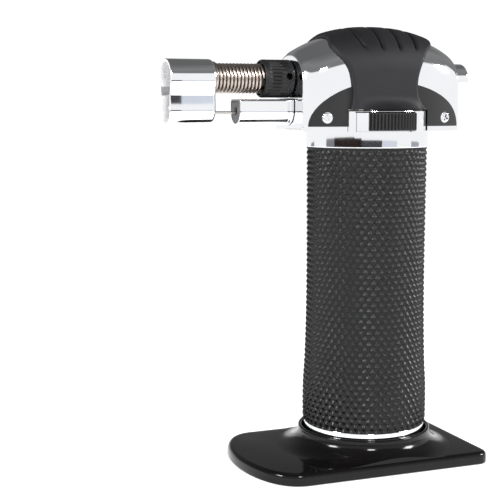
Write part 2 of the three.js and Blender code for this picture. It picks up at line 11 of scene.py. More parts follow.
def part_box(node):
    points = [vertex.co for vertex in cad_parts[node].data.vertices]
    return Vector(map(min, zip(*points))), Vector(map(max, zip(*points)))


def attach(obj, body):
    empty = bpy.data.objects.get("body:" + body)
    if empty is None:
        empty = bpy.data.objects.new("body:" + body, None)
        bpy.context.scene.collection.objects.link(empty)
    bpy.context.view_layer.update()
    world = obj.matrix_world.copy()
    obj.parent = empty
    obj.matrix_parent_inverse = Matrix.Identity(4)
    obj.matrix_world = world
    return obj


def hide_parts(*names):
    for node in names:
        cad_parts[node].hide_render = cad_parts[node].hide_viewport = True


bl_info = {
    "name": "Butane Torch",
    "version": (1, 0, 0),
    "blender": (4, 5, 0),
    "location": "View3D > Sidebar > Torch",
    "description": "Builds the visible pieces of a bench torch round its packed frame",
    "category": "Object",
}

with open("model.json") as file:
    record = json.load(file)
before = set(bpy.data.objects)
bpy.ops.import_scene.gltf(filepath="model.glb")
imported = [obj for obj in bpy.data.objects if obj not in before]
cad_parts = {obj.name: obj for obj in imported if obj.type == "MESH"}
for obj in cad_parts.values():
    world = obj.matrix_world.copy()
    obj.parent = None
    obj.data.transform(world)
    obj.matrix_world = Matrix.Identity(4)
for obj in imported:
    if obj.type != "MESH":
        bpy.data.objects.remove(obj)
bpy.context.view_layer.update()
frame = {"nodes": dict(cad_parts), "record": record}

MM = 0.001
TURN = 2.0 * math.pi
Z_AXIS = Vector((0.0, 0.0, 1.0))
X_AXIS = Vector((1.0, 0.0, 0.0))

BOXES = {node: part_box(node) for node in frame["nodes"]}


def low(node):
    return BOXES[node][0]


def high(node):
    return BOXES[node][1]


def joint(name):
    return next(entry for entry in frame["record"]["behaviour"]["joints"] if entry["name"] == name)


BURNER_Z = joint("air_collar_turn")["pos_m"][2]
TORCH = "torch"
STAND = "stand"


# ---------------------------------------------------------------- settings


def length(name, description, default):
    return bpy.props.FloatProperty(
        name=name, description=description, default=default, precision=5, subtype="DISTANCE", unit="LENGTH"
    )


def count(name, description, default):
    return bpy.props.IntProperty(name=name, description=description, default=default, min=1)


def colour(name, description, default):
    return bpy.props.FloatVectorProperty(
        name=name, description=description, default=default, subtype="COLOR", size=3, min=0.0, max=1.0
    )


class TorchSizes(bpy.types.PropertyGroup):
    """Sizes of the visible detail."""

    head_end_half_width: length("Head end half width", "Half width of the head at its two ends", 11 * MM)
    head_end_top: length("Head end top", "Height of the head's roof at its two ends", 131.8 * MM)
    head_arch: length("Arch height", "Height of the roof arch at the middle of the head", 13 * MM)
    head_wall: length("Head wall", "Thickness of the head's wall", 2.2 * MM)
    head_edge: length("Head edge", "Rounding of the head's end faces", 0.7 * MM)
    plate_half_length: length("Plate half length", "Half length of a side plate", 26.2 * MM)
    plate_height: length("Plate height", "Height of a side plate", 14 * MM)
    plate_proud: length("Plate proud", "How far a side plate stands out of the head", 0.16 * MM)
    grip_thickness: length("Grip thickness", "Thickness of the saddle grip", 1.2 * MM)
    groove_depth: length("Groove depth", "Depth of the grip grooves", 1.05 * MM)
    point_height: length("Point height", "Height of the grip sleeve's diamond points", 0.85 * MM)
    point_columns: count("Points round", "Diamond points in one row round the sleeve", 48)
    point_rows: count("Point rows", "Rows of diamond points up the sleeve", 51)
    dial_ribs: count("Dial ribs", "Ribs on each pad of the gas dial", 15)
    collar_ribs: count("Air collar ribs", "Ribs round the air collar", 30)
    coil_turns: bpy.props.FloatProperty(name="Coil turns", description="Turns of the heat coil", default=12.5)


class TorchColours(bpy.types.PropertyGroup):
    """Base colours of the finishes."""

    chrome: colour("Chrome", "Plated metal", (0.86, 0.87, 0.89))
    gloss_black: colour("Gloss black", "Moulded stand", (0.004, 0.0036, 0.0035))
    grip_black: colour("Sleeve black", "Sleeve with diamond points", (0.003, 0.003, 0.0035))
    rubber: colour("Rubber", "Saddle grip", (0.0085, 0.0085, 0.010))
    plate: colour("Plate", "Side plates, dial and air collar", (0.009, 0.009, 0.0098))
    coil: colour("Coil", "Heat-tinted wire", (0.46, 0.40, 0.36))


def sizes():
    return bpy.context.scene.torch_sizes


def colours():
    return bpy.context.scene.torch_colours


# ---------------------------------------------------------------- mesh helpers


def clamp(value, least=0.0, most=1.0):
    return max(least, min(most, value))


def smooth(value):
    value = clamp(value)
    return value * value * (3.0 - 2.0 * value)


def new_piece(name, mesh_edit, body, nodes, finish, sharp=38.0, cuts=(), rounding=None):
    """Turns an edit mesh into a finished piece that rides on a body."""
    bmesh.ops.remove_doubles(mesh_edit, verts=mesh_edit.verts[:], dist=1e-6)
    bmesh.ops.recalc_face_normals(mesh_edit, faces=mesh_edit.faces[:])
    mesh = bpy.data.meshes.new(name)
    mesh_edit.to_mesh(mesh)
    mesh_edit.free()
    piece = bpy.data.objects.new(name, mesh)
    bpy.context.scene.collection.objects.link(piece)
    if cuts:
        cut_away(piece, cuts)
    if rounding:
        bevel = piece.modifiers.new("edges", "BEVEL")
        bevel.width = rounding
        bevel.segments = 3
        bevel.limit_method = "ANGLE"
        bevel.angle_limit = math.radians(sharp)
        bevel.harden_normals = False
    piece.data.shade_smooth()
    mark_sharp(piece.data, sharp if not rounding else 70.0)
    piece.data.materials.append(finish)
    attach(piece, body)
    if nodes:
        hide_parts(*nodes)
    return piece


def mark_sharp(mesh, degrees):
    mesh_edit = bmesh.new()
    mesh_edit.from_mesh(mesh)
    limit = math.radians(degrees)
    for edge in mesh_edit.edges:
        edge.smooth = edge.calc_face_angle(0.0) < limit
    for face in mesh_edit.faces:
        face.smooth = True
    mesh_edit.to_mesh(mesh)
    mesh_edit.free()


def round_edges(mesh_edit, edges, offset, segments):
    """Round the given edges with a bevel of even profile."""
    bmesh.ops.bevel(
        mesh_edit, geom=edges, offset=offset, segments=segments, profile=0.5, affect="EDGES", material=-1
    )


def cut_away(piece, cutters):
    """Cuts solids out of a piece and removes them."""
    for cutter in cutters:
        bpy.context.scene.collection.objects.link(cutter)
        change = piece.modifiers.new("cut", "BOOLEAN")
        change.operation = "DIFFERENCE"
        change.solver = "EXACT"
        change.object = cutter
    depsgraph = bpy.context.evaluated_depsgraph_get()
    cut_mesh = bpy.data.meshes.new_from_object(piece.evaluated_get(depsgraph))
    piece.modifiers.clear()
    old = piece.data
    piece.data = cut_mesh
    cut_mesh.name = piece.name
    bpy.data.meshes.remove(old)
    for cutter in cutters:
        bpy.data.objects.remove(cutter)


def solid(mesh_edit, name="cutter"):
    """A loose object from an edit mesh, used to cut another."""
    bmesh.ops.remove_doubles(mesh_edit, verts=mesh_edit.verts[:], dist=1e-6)
    bmesh.ops.recalc_face_normals(mesh_edit, faces=mesh_edit.faces[:])
    mesh = bpy.data.meshes.new(name)
    mesh_edit.to_mesh(mesh)
    mesh_edit.free()
    return bpy.data.objects.new(name, mesh)


def spun(profile, axis="Z", height=0.0, steps=96, mesh_edit=None):
    """A profile of (radius, distance along the axis) spun about Z, or about X at a height."""
    mesh_edit = mesh_edit or bmesh.new()
    if axis == "Z":
        corners = [mesh_edit.verts.new((radius, 0.0, along)) for radius, along in profile]
        turn_axis, centre = Z_AXIS, Vector((0.0, 0.0, 0.0))
    else:
        corners = [mesh_edit.verts.new((along, radius, height)) for radius, along in profile]
        turn_axis, centre = X_AXIS, Vector((0.0, 0.0, height))
    pairs = list(zip(corners, corners[1:]))
    on_axis = profile[0][0] == 0.0 and profile[-1][0] == 0.0
    if not on_axis:
        pairs.append((corners[-1], corners[0]))
    edges = [mesh_edit.edges.new(pair) for pair in pairs]
    bmesh.ops.spin(
        mesh_edit,
        geom=corners + edges,
        cent=centre,
        axis=turn_axis,
        angle=TURN,
        steps=steps,
        use_merge=True,
        use_duplicate=False,
    )
    bmesh.ops.remove_doubles(mesh_edit, verts=mesh_edit.verts[:], dist=1e-7)
    return mesh_edit


def rounded(corners, radius, steps=4, closed=True):
    """A chain of corners with each corner turned into a short arc."""
    points = []
    total = len(corners)
    for index, corner in enumerate(corners):
        here = Vector(corner)
        if not closed and index in (0, total - 1):
            points.append(tuple(here))
            continue
        before = Vector(corners[index - 1]) - here
        after = Vector(corners[(index + 1) % total]) - here
        reach = min(radius, before.length * 0.45, after.length * 0.45)
        start = here + before.normalized() * reach
        end = here + after.normalized() * reach
        for step in range(steps + 1):
            t = step / steps
            points.append(tuple(start * (1 - t) ** 2 + here * 2 * t * (1 - t) + end * t * t))
    return points


def ring_profile(inner, outer, bottom, top, radius):
    return rounded([(inner, bottom), (outer, bottom), (outer, top), (inner, top)], radius)


def prism(outline, start, stop, axis="X", steps=1):
    """An outline of (y, z) or (x, z) or (x, y) points extruded along X, Y or Z."""
    mesh_edit = bmesh.new()
    place = {
        "X": lambda a, b: (start, a, b),
        "Y": lambda a, b: (a, start, b),
        "Z": lambda a, b: (a, b, start),
    }[axis]
    along = Vector([(stop - start) / steps if axis == letter else 0.0 for letter in "XYZ"])
    face = mesh_edit.faces.new([mesh_edit.verts.new(place(a, b)) for a, b in outline])
    for step in range(steps):
        made = bmesh.ops.extrude_face_region(mesh_edit, geom=[face])["geom"]
        if step and face.is_valid:
            bmesh.ops.delete(mesh_edit, geom=[face], context="FACES_ONLY")
        face = next(part for part in made if isinstance(part, bmesh.types.BMFace))
        fresh = [part for part in made if isinstance(part, bmesh.types.BMVert)]
        bmesh.ops.translate(mesh_edit, verts=fresh, vec=along)
    return mesh_edit


def cylinder(radius, start, stop, axis, at=(0.0, 0.0, 0.0), segments=48):
    """A solid cylinder along X, Y or Z, used as a cutter."""
    circle = [
        (math.cos(TURN * i / segments) * radius, math.sin(TURN * i / segments) * radius)
        for i in range(segments)
    ]
    mesh_edit = prism(circle, start, stop, axis)
    bmesh.ops.translate(mesh_edit, verts=mesh_edit.verts[:], vec=Vector(at))
    return solid(mesh_edit)


def slab(across, along):
    """A thin closed sheet whose vertices hold u and v from -1 to 1 and w, 0 outside and 1 inside."""
    mesh_edit = bmesh.new()
    bmesh.ops.create_grid(mesh_edit, x_segments=across, y_segments=along, size=1.0)
    bmesh.ops.solidify(mesh_edit, geom=mesh_edit.faces[:], thickness=0.5)
    deepest = max((vert.co.z for vert in mesh_edit.verts), key=abs)
    for vert in mesh_edit.verts:
        vert.co.z = vert.co.z / deepest
    return mesh_edit


def arc(centre, radius, start, stop, steps):
    """Points on an arc from one angle to another, in degrees."""
    points = []
    for step in range(steps + 1):
        angle = math.radians(start + (stop - start) * step / steps)
        points.append((centre[0] + radius * math.cos(angle), centre[1] + radius * math.sin(angle)))
    return points


def value_along(table, at):
    """Smooth value between the (place, value) pairs of a table sorted by place."""
    if at <= table[0][0]:
        return table[0][1]
    for index in range(len(table) - 1):
        x0, y0 = table[index]
        x1, y1 = table[index + 1]
        if at <= x1:
            xa, ya = table[max(index - 1, 0)]
            xb, yb = table[min(index + 2, len(table) - 1)]
            slope0 = (y1 - ya) / (x1 - xa)
            slope1 = (yb - y0) / (xb - x0)
            t = (at - x0) / (x1 - x0)
            span = x1 - x0
            return (
                y0 * (2 * t**3 - 3 * t**2 + 1)
                + slope0 * span * (t**3 - 2 * t**2 + t)
                + y1 * (3 * t**2 - 2 * t**3)
                + slope1 * span * (t**3 - t**2)
            )
    return table[-1][1]


# ---------------------------------------------------------------- finishes


def node_material(name):
    material = bpy.data.materials.get(name)
    if material:
        return material, None, None
    material = bpy.data.materials.new(name)
    material.use_nodes = True
    nodes = material.node_tree.nodes
    shader = nodes["Principled BSDF"]
    return material, material.node_tree, shader


def surface_noise(tree, scale, detail=3.0, roughness=0.55):
    """Noise on object coordinates, as a node whose Fac drives other values."""
    place = tree.nodes.new("ShaderNodeTexCoord")
    noise = tree.nodes.new("ShaderNodeTexNoise")
    noise.inputs["Scale"].default_value = scale
    noise.inputs["Detail"].default_value = detail
    noise.inputs["Roughness"].default_value = roughness
    tree.links.new(place.outputs["Object"], noise.inputs["Vector"])
    return noise


def ranged(tree, source, least, most, low_in=0.3, high_in=0.7):
    """A node that spreads a source over a range of values."""
    node = tree.nodes.new("ShaderNodeMapRange")
    node.inputs["From Min"].default_value = low_in
    node.inputs["From Max"].default_value = high_in
    node.inputs["To Min"].default_value = least
    node.inputs["To Max"].default_value = most
    tree.links.new(source, node.inputs["Value"])
    return node.outputs["Result"]


def bumped(tree, shader, source, strength, distance):
    bump = tree.nodes.new("ShaderNodeBump")
    bump.inputs["Strength"].default_value = strength
    bump.inputs["Distance"].default_value = distance
    tree.links.new(source, bump.inputs["Height"])
    tree.links.new(bump.outputs["Normal"], shader.inputs["Normal"])


def tinted(tree, shader, source, dark, light):
    ramp = tree.nodes.new("ShaderNodeValToRGB")
    ramp.color_ramp.elements[0].color = (*dark, 1.0)
    ramp.color_ramp.elements[1].color = (*light, 1.0)
    ramp.color_ramp.elements[0].position = 0.3
    ramp.color_ramp.elements[1].position = 0.7
    tree.links.new(source, ramp.inputs["Fac"])
    tree.links.new(ramp.outputs["Color"], shader.inputs["Base Color"])


def shaded(base, factor):
    return tuple(clamp(channel * factor) for channel in base)


def metal(name, base, rough, variation=0.03, grain=900.0, metallic=1.0, bump=0.02):
    """Metal with slightly uneven polish."""
    material, tree, shader = node_material(name)
    if tree is None:
        return material
    shader.inputs["Metallic"].default_value = metallic
    smear = surface_noise(tree, 60.0)
    tree.links.new(ranged(tree, smear.outputs["Fac"], rough, rough + variation), shader.inputs["Roughness"])
    tinted(tree, shader, smear.outputs["Fac"], shaded(base, 0.96), shaded(base, 1.0))
    fine = surface_noise(tree, grain)
    bumped(tree, shader, fine.outputs["Fac"], bump, 0.02 * MM)
    return material


def plastic(name, base, rough, variation=0.08, grain=2500.0, bump=0.15, depth=0.03, spread=0.15, gloss=0.5):
    """Moulded plastic or rubber with a fine grain."""
    material, tree, shader = node_material(name)
    if tree is None:
        return material
    shader.inputs["Specular IOR Level"].default_value = gloss
    cloud = surface_noise(tree, 90.0)
    tree.links.new(ranged(tree, cloud.outputs["Fac"], rough, rough + variation), shader.inputs["Roughness"])
    tinted(tree, shader, cloud.outputs["Fac"], shaded(base, 1 - spread), shaded(base, 1 + spread))
    fine = surface_noise(tree, grain, detail=2.0)
    bumped(tree, shader, fine.outputs["Fac"], bump, depth * MM)
    return material


def chrome_finish():
    return metal("torch_chrome", colours().chrome, 0.045, variation=0.03)


def stand_finish():
    return plastic("torch_gloss_black", colours().gloss_black, 0.1, variation=0.05, bump=0.03, gloss=0.22)


def sleeve_finish():
    return plastic("torch_sleeve_black", colours().grip_black, 0.19, variation=0.06, bump=0.05, gloss=0.3)


def rubber_finish():
    return plastic(
        "torch_grip_rubber", colours().rubber, 0.5, variation=0.12, bump=0.3, depth=0.04, gloss=0.26
    )


def plate_finish():
    return plastic(
        "torch_plate_black", colours().plate, 0.44, variation=0.1, bump=0.25, depth=0.03, gloss=0.3
    )


# Painted light: a pale satin grey that stands in for chrome inside the flame guard, so its hollow reads
# bright.
def guard_inside_painted_light():
    return metal("torch_guard_inside", (0.80, 0.80, 0.81), 0.5, variation=0.1, metallic=0.2)


def coil_finish():
    return metal("torch_coil_steel", colours().coil, 0.22, variation=0.1)


def steel_finish():
    return metal("torch_bright_steel", (0.62, 0.60, 0.58), 0.2, variation=0.08)


def burner_finish():
    return metal("torch_burner_steel", (0.30, 0.27, 0.24), 0.34, variation=0.15)


def brass_finish():
    return metal("torch_brass", (0.66, 0.47, 0.20), 0.25, variation=0.1)


def tank_finish():
    return metal("torch_tank_metal", (0.58, 0.59, 0.60), 0.34, variation=0.12)


def moulding_finish():
    return plastic("torch_inner_moulding", (0.03, 0.031, 0.033), 0.45)


def plug_finish():
    return plastic("torch_plug_grey", (0.13, 0.13, 0.135), 0.55)


def ceramic_finish():
    return plastic("torch_ceramic_white", (0.72, 0.70, 0.64), 0.5, spread=0.04)


def dark_socket_finish():
    return metal("torch_blackened_socket", (0.03, 0.028, 0.026), 0.4, variation=0.12)


# Black for the real seals and lead, and also used as painted shade in the screws' cross recesses.
def seal_black_and_painted_shade():
    return plastic("torch_seal_black", (0.014, 0.014, 0.014), 0.5)


def hose_finish():
    return plastic("torch_milky_tube", (0.62, 0.60, 0.54), 0.35, spread=0.03)


def mark_finish():
    return plastic("torch_etched_mark", (0.42, 0.42, 0.43), 0.6, spread=0.05)


# ---------------------------------------------------------------- head surface


def head_half_width(x):
    half = high("head_shell").y
    reach = abs(x / high("head_shell").x)
    return half - (half - sizes().head_end_half_width) * reach**6


def head_top(x):
    top = high("head_shell").z
    reach = abs(x / high("head_shell").x)
    return top - (top - sizes().head_end_top) * reach**2.3


def head_point(x, across, rise, offset, bottom):
    """A point on the head's skin. rise runs 0 to 1 up the wall and 1 to 2 up the roof arch."""
    base = low("head_shell").z
    top = head_top(x) - offset
    arch = sizes().head_arch * (head_top(x) - base) / (high("head_shell").z - base) - offset
    spring = top - arch
    z = bottom + rise * (spring - bottom) if rise <= 1.0 else spring + (rise - 1.0) * arch
    return Vector((x, across * (head_half_width(x) - offset), z))


def arch_outline(wall_steps, arch_steps):
    """Unit outline of the head's section: up one wall, over the arch and down the other."""
    points = [(-1.0, step / wall_steps) for step in range(wall_steps)]
    for step in range(arch_steps + 1):
        angle = math.pi - math.pi * step / arch_steps
        across = math.copysign(abs(math.cos(angle)) ** 0.95, math.cos(angle))
        points.append((across, 1.0 + abs(math.sin(angle)) ** 0.95))
    points += [(1.0, (wall_steps - 1 - step) / wall_steps) for step in range(wall_steps)]
    return points


def head_block(offset, x0, x1, bottom, stations=44, edge=0.0):
    mesh_edit = prism(arch_outline(8, 40), x0, x1, "X", stations)
    for vert in mesh_edit.verts:
        vert.co = head_point(vert.co.x, vert.co.y, vert.co.z, offset, bottom)
    if edge:
        ends = [e for e in mesh_edit.edges if all(abs(abs(v.co.x) - x1) < 1e-6 for v in e.verts)]
        bmesh.ops.bevel(
            mesh_edit, geom=ends, offset=edge, segments=4, profile=0.5, affect="EDGES", material=-1
        )
    return mesh_edit


def wall_side(x, z, offset):
    """Distance of the head's side from the middle plane at a place and height."""
    base = low("head_shell").z
    top = head_top(x) - offset
    arch = sizes().head_arch * (head_top(x) - base) / (high("head_shell").z - base) - offset
    spring = top - arch
    half = head_half_width(x) - offset
    if z <= spring:
        return half
    lift = clamp((z - spring) / arch) ** (1 / 0.95)
    return half * max(1.0 - lift * lift, 0.0) ** (0.95 / 2)


# ---------------------------------------------------------------- operators


class TORCH_OT_stage(bpy.types.Operator):
    """Camera, soft studio light and a pale floor"""

    bl_idname = "torch.stage"
    bl_label = "Stage"

    def execute(self, context):
        add_camera(context)
        add_world(context)
        add_lights(context)
        floor_edit = bmesh.new()
        bmesh.ops.create_circle(floor_edit, cap_ends=True, radius=0.6, segments=96)
        mesh = bpy.data.meshes.new("floor")
        floor_edit.to_mesh(mesh)
        floor_edit.free()
        floor = bpy.data.objects.new("floor", mesh)
        floor.location.z = -0.0002
        material, _, shader = node_material("pale_floor")
        shader.inputs["Base Color"].default_value = (0.92, 0.92, 0.92, 1.0)
        shader.inputs["Roughness"].default_value = 0.9
        shader.inputs["Specular IOR Level"].default_value = 0.1
        shader.inputs["Emission Color"].default_value = (1.0, 1.0, 1.0, 1.0)
        shader.inputs["Emission Strength"].default_value = 0.45
        mesh.materials.append(material)
        context.scene.collection.objects.link(floor)
        add_reflection_cards(context)
        return {"FINISHED"}


def add_camera(context):
    data = bpy.data.cameras.new("camera")
    data.sensor_width = 36.0
    data.lens = 84.87
    data.clip_start = 0.01
    camera = bpy.data.objects.new("camera", data)
    camera.location = (-0.17534, -0.34380, 0.11616)
    yaw, pitch = math.radians(21.393), math.radians(7.078)
    forward = Vector((math.sin(yaw) * math.cos(pitch), math.cos(yaw) * math.cos(pitch), -math.sin(pitch)))
    camera.rotation_euler = forward.to_track_quat("-Z", "Y").to_euler()
    context.scene.collection.objects.link(camera)
    context.scene.camera = camera
    context.scene.view_settings.view_transform = "Standard"


def add_world(context):
    """A white room with a mid-grey ceiling that comes lower behind the torch."""
    world = bpy.data.worlds.new("studio")
    context.scene.world = world
    world.use_nodes = True
    tree = world.node_tree
    background = tree.nodes["Background"]
    place = tree.nodes.new("ShaderNodeTexCoord")
    split = tree.nodes.new("ShaderNodeSeparateXYZ")
    tree.links.new(place.outputs["Generated"], split.inputs["Vector"])
    ramp = tree.nodes.new("ShaderNodeValToRGB")
    height = tree.nodes.new("ShaderNodeMapRange")
    height.inputs["From Min"].default_value = -1.0
    height.inputs["From Max"].default_value = 1.0
    behind = ranged(tree, split.outputs["Y"], 0.0, 0.36, -0.1, 0.4)
    lifted = tree.nodes.new("ShaderNodeMath")
    lifted.operation = "ADD"
    tree.links.new(split.outputs["Z"], lifted.inputs[0])
    tree.links.new(behind, lifted.inputs[1])
    tree.links.new(lifted.outputs["Value"], height.inputs["Value"])
    tree.links.new(height.outputs["Result"], ramp.inputs["Fac"])
    steps = [(0.0, 0.8), (0.42, 1.05), (0.73, 1.05), (0.76, 0.20), (0.9, 0.24), (1.0, 0.14)]
    elements = ramp.color_ramp.elements
    while len(elements) < len(steps):
        elements.new(0.5)
    for element, (position, level) in zip(elements, steps):
        element.position = position
        element.color = (level, level, level, 1.0)
    tree.links.new(ramp.outputs["Color"], background.inputs["Color"])
    background.inputs["Strength"].default_value = 1.0


# Low curved cards behind the viewer that only the plating sees: start and end azimuth, height, colour.
CARDS = [
    (-152.0, -140.0, 62 * MM, (0.30, 0.30, 0.31)),
    (-106.0, -88.0, 62 * MM, (0.22, 0.22, 0.24)),
    (-88.0, -36.0, 64 * MM, (0.022, 0.014, 0.013)),
    (-36.0, 1.0, 54 * MM, (0.060, 0.060, 0.066)),
    (1.0, 30.0, 54 * MM, (0.72, 0.76, 0.84)),
    (62.0, 84.0, 60 * MM, (0.40, 0.42, 0.46)),
]


def add_reflection_cards(context):
    """Dark cards on the floor, seen only in reflections, that give the polished bands their stripes."""
    for index, (start, stop, height, shade) in enumerate(CARDS):
        card_edit = bmesh.new()
        reach = 0.5
        angle = math.radians(start - 90.0)
        spot = (math.cos(angle) * reach, math.sin(angle) * reach)
        foot = card_edit.verts.new((*spot, 0.0))
        head = card_edit.verts.new((*spot, height))
        edge = card_edit.edges.new((foot, head))
        bmesh.ops.spin(
            card_edit, geom=[foot, head, edge], cent=(0.0, 0.0, 0.0), axis=Z_AXIS,
            angle=math.radians(stop - start), steps=24, use_merge=False, use_duplicate=False,
        )
        mesh = bpy.data.meshes.new(f"card_{index}")
        card_edit.to_mesh(mesh)
        card_edit.free()
        card = bpy.data.objects.new(f"card_{index}", mesh)
        material, _, shader = node_material(f"card_shade_{index}")
        shader.inputs["Base Color"].default_value = (0.0, 0.0, 0.0, 1.0)
        shader.inputs["Specular IOR Level"].default_value = 0.0
        shader.inputs["Emission Color"].default_value = (*shade, 1.0)
        shader.inputs["Emission Strength"].default_value = 1.0
        mesh.materials.append(material)
        for ray in ("visible_camera", "visible_diffuse", "visible_shadow", "visible_transmission"):
            setattr(card, ray, False)
        context.scene.collection.objects.link(card)


def add_lights(context):
    """Three soft boxes: at the right, at the left and high in front."""
    for name, place, size, power in [
        ("soft_box_right", (0.80, -0.45, 0.50), 0.26, 9.0),
        ("soft_box_left", (-0.90, -0.15, 0.45), 0.22, 7.0),
        ("soft_box_front", (-0.20, -0.95, 0.70), 0.20, 6.0),
    ]:
        data = bpy.data.lights.new(name, "AREA")
        data.shape = "RECTANGLE"
        data.size = size
        data.size_y = size * 0.8
        data.energy = power
        light = bpy.data.objects.new(name, data)
        light.location = place
        aim = Vector((0.0, 0.0, 0.07)) - Vector(place)
        light.rotation_euler = aim.to_track_quat("-Z", "Y").to_euler()
        context.scene.collection.objects.link(light)


class TORCH_OT_stand(bpy.types.Operator):
    """Moulded stand with its flared socket"""

    bl_idname = "torch.stand"
    bl_label = "Stand"

    def execute(self, context):
        add_stand()
        return {"FINISHED"}


PLATE_TOP = 3.9 * MM
SOCKET_FLOOR = 3.2 * MM


def stand_outline(inset):
    """Plan of the plate: straight sides and rear, with a round nose."""
    nose = low("base_stand").x + inset
    rear = high("base_stand").x - inset
    side = high("base_stand").y - inset
    corner = 4 * MM
    start = -31 * MM
    points = [(start, -side)]
    points += arc((rear - corner, -side + corner), corner, -90, 0, 8)
    points += arc((rear - corner, side - corner), corner, 0, 90, 8)
    points.append((start, side))
    pulls = [(start, side), (start - 9.5 * MM, side), (nose, 13 * MM), (nose, 0.0)]
    curve = [bezier(pulls, step / 16) for step in range(1, 17)]
    return points + curve + [(x, -y) for x, y in reversed(curve[:-1])]


def bezier(pulls, t):
    weights = ((1 - t) ** 3, 3 * t * (1 - t) ** 2, 3 * t * t * (1 - t), t**3)
    return tuple(sum(weight * pull[axis] for weight, pull in zip(weights, pulls)) for axis in (0, 1))


def add_stand():
    mesh_edit = prism(stand_outline(0.0), 0.0, PLATE_TOP, "Z")
    rim_edges = [e for e in mesh_edit.edges if all(v.co.z > PLATE_TOP / 2 for v in e.verts)]
    bmesh.ops.bevel(
        mesh_edit, geom=rim_edges, offset=1.5 * MM, segments=6, profile=0.5, affect="EDGES", material=-1
    )
    foot_edges = [e for e in mesh_edit.edges if all(v.co.z < 1e-6 for v in e.verts)]
    bmesh.ops.bevel(
        mesh_edit, geom=foot_edges, offset=0.3 * MM, segments=3, profile=0.5, affect="EDGES", material=-1
    )
    socket = cylinder(20.4 * MM, SOCKET_FLOOR, 30 * MM, "Z", segments=128)
    plate = new_piece(
        "stand_plate", mesh_edit, STAND, ["base_stand"], stand_finish(), 30.0, [socket]
    )
    flare = [(27.6 * MM, PLATE_TOP - 1.2 * MM)]
    rim, rim_top = 21.6 * MM, high("base_stand").z
    foot = 30 * MM
    for step in range(13):
        angle = math.radians(90) * step / 12
        radius = foot - (foot - rim - 0.2 * MM) * math.sin(angle)
        rise = (rim_top - 0.9 * MM - PLATE_TOP) * (1 - math.cos(angle))
        flare.append((radius, PLATE_TOP - 0.05 * MM + rise))
    lip = arc((21.2 * MM, rim_top - 0.6 * MM), 0.6 * MM, 0, 180, 10)
    flare += lip + [(20.4 * MM, rim_top - 1.5 * MM), (20.4 * MM, PLATE_TOP - 1.2 * MM)]
    flare_edit = spun(flare, steps=128)
    clip_to_plate(flare_edit)
    new_piece("stand_flare", flare_edit, STAND, [], stand_finish(), 50.0)
    return plate


def clip_to_plate(mesh_edit):
    """Trims the flare where it would pass the plate's straight sides."""
    side = high("base_stand").y - 0.9 * MM
    for sign in (-1, 1):
        cut = bmesh.ops.bisect_plane(
            mesh_edit,
            geom=mesh_edit.verts[:] + mesh_edit.edges[:] + mesh_edit.faces[:],
            plane_co=(0.0, sign * side, 0.0),
            plane_no=(0.0, sign, 0.0),
            clear_outer=True,
        )["geom_cut"]
        edges = [part for part in cut if isinstance(part, bmesh.types.BMEdge)]
        bmesh.ops.holes_fill(mesh_edit, edges=edges, sides=0)


class TORCH_OT_handle(bpy.types.Operator):
    """Grip sleeve with diamond points, and the plated rings at its two ends"""

    bl_idname = "torch.handle"
    bl_label = "Handle"

    def execute(self, context):
        add_sleeve()
        add_lower_ring()
        add_collar()
        add_marks()
        return {"FINISHED"}


# Tip radius of the sleeve against height, from its foot to its top.
SLEEVE_RADII = [
    (12.1 * MM, 20.3 * MM),
    (13.5 * MM, 20.44 * MM),
    (24 * MM, 20.4 * MM),
    (33 * MM, 19.9 * MM),
    (48 * MM, 19.5 * MM),
    (66 * MM, 19.35 * MM),
    (84 * MM, 19.4 * MM),
    (102.2 * MM, 19.5 * MM),
]


def add_sleeve():
    columns, rows = sizes().point_columns, sizes().point_rows
    bottom, top = low("tank_sleeve").z, high("tank_sleeve").z
    bore = 17.8 * MM
    steps = rows * 4
    around = columns * 6
    profile = [(bore, bottom)]
    profile += [(20 * MM, bottom + (top - bottom) * step / steps) for step in range(steps + 1)]
    profile.append((bore, top))
    mesh_edit = spun(profile, steps=around)
    pitch = (top - bottom) / rows
    for vert in mesh_edit.verts:
        if math.hypot(vert.co.x, vert.co.y) < bore + 0.5 * MM:
            continue
        angle = math.atan2(vert.co.y, vert.co.x)
        across = angle / TURN * columns
        up = (vert.co.z - bottom) / pitch
        radius = value_along(SLEEVE_RADII, vert.co.z) - point_drop(across, up)
        vert.co.x = math.cos(angle) * radius
        vert.co.y = math.sin(angle) * radius
    new_piece("grip_sleeve", mesh_edit, TORCH, ["tank_sleeve"], sleeve_finish(), 80.0)


def point_drop(across, up):
    """How far the sleeve's surface lies below the points' tips. Rows are staggered by half a pitch."""
    nearest = 1e9
    row = round(up)
    for near_row in (row - 1, row, row + 1):
        shift = 0.5 if near_row % 2 else 0.0
        sideways = across - shift - round(across - shift)
        reach = abs(sideways) * 2.0 / 0.86 + abs(up - near_row) / 0.86
        nearest = min(nearest, reach)
    tip = 0.2
    slope = (math.hypot(min(nearest, 1.0), tip) - tip) / (math.hypot(1.0, tip) - tip)
    return sizes().point_height * slope


def add_lower_ring():
    box_low, box_high = low("lower_trim_ring"), high("lower_trim_ring")
    profile = ring_profile(17.9 * MM, box_high.x, box_low.z, box_high.z, 0.4 * MM)
    new_piece("foot_ring", spun(profile, steps=128), TORCH, ["lower_trim_ring"], chrome_finish())


def dial_angles():
    """Ends of the dial's near pad, in degrees from the -Y side."""
    return -25.0, 21.0


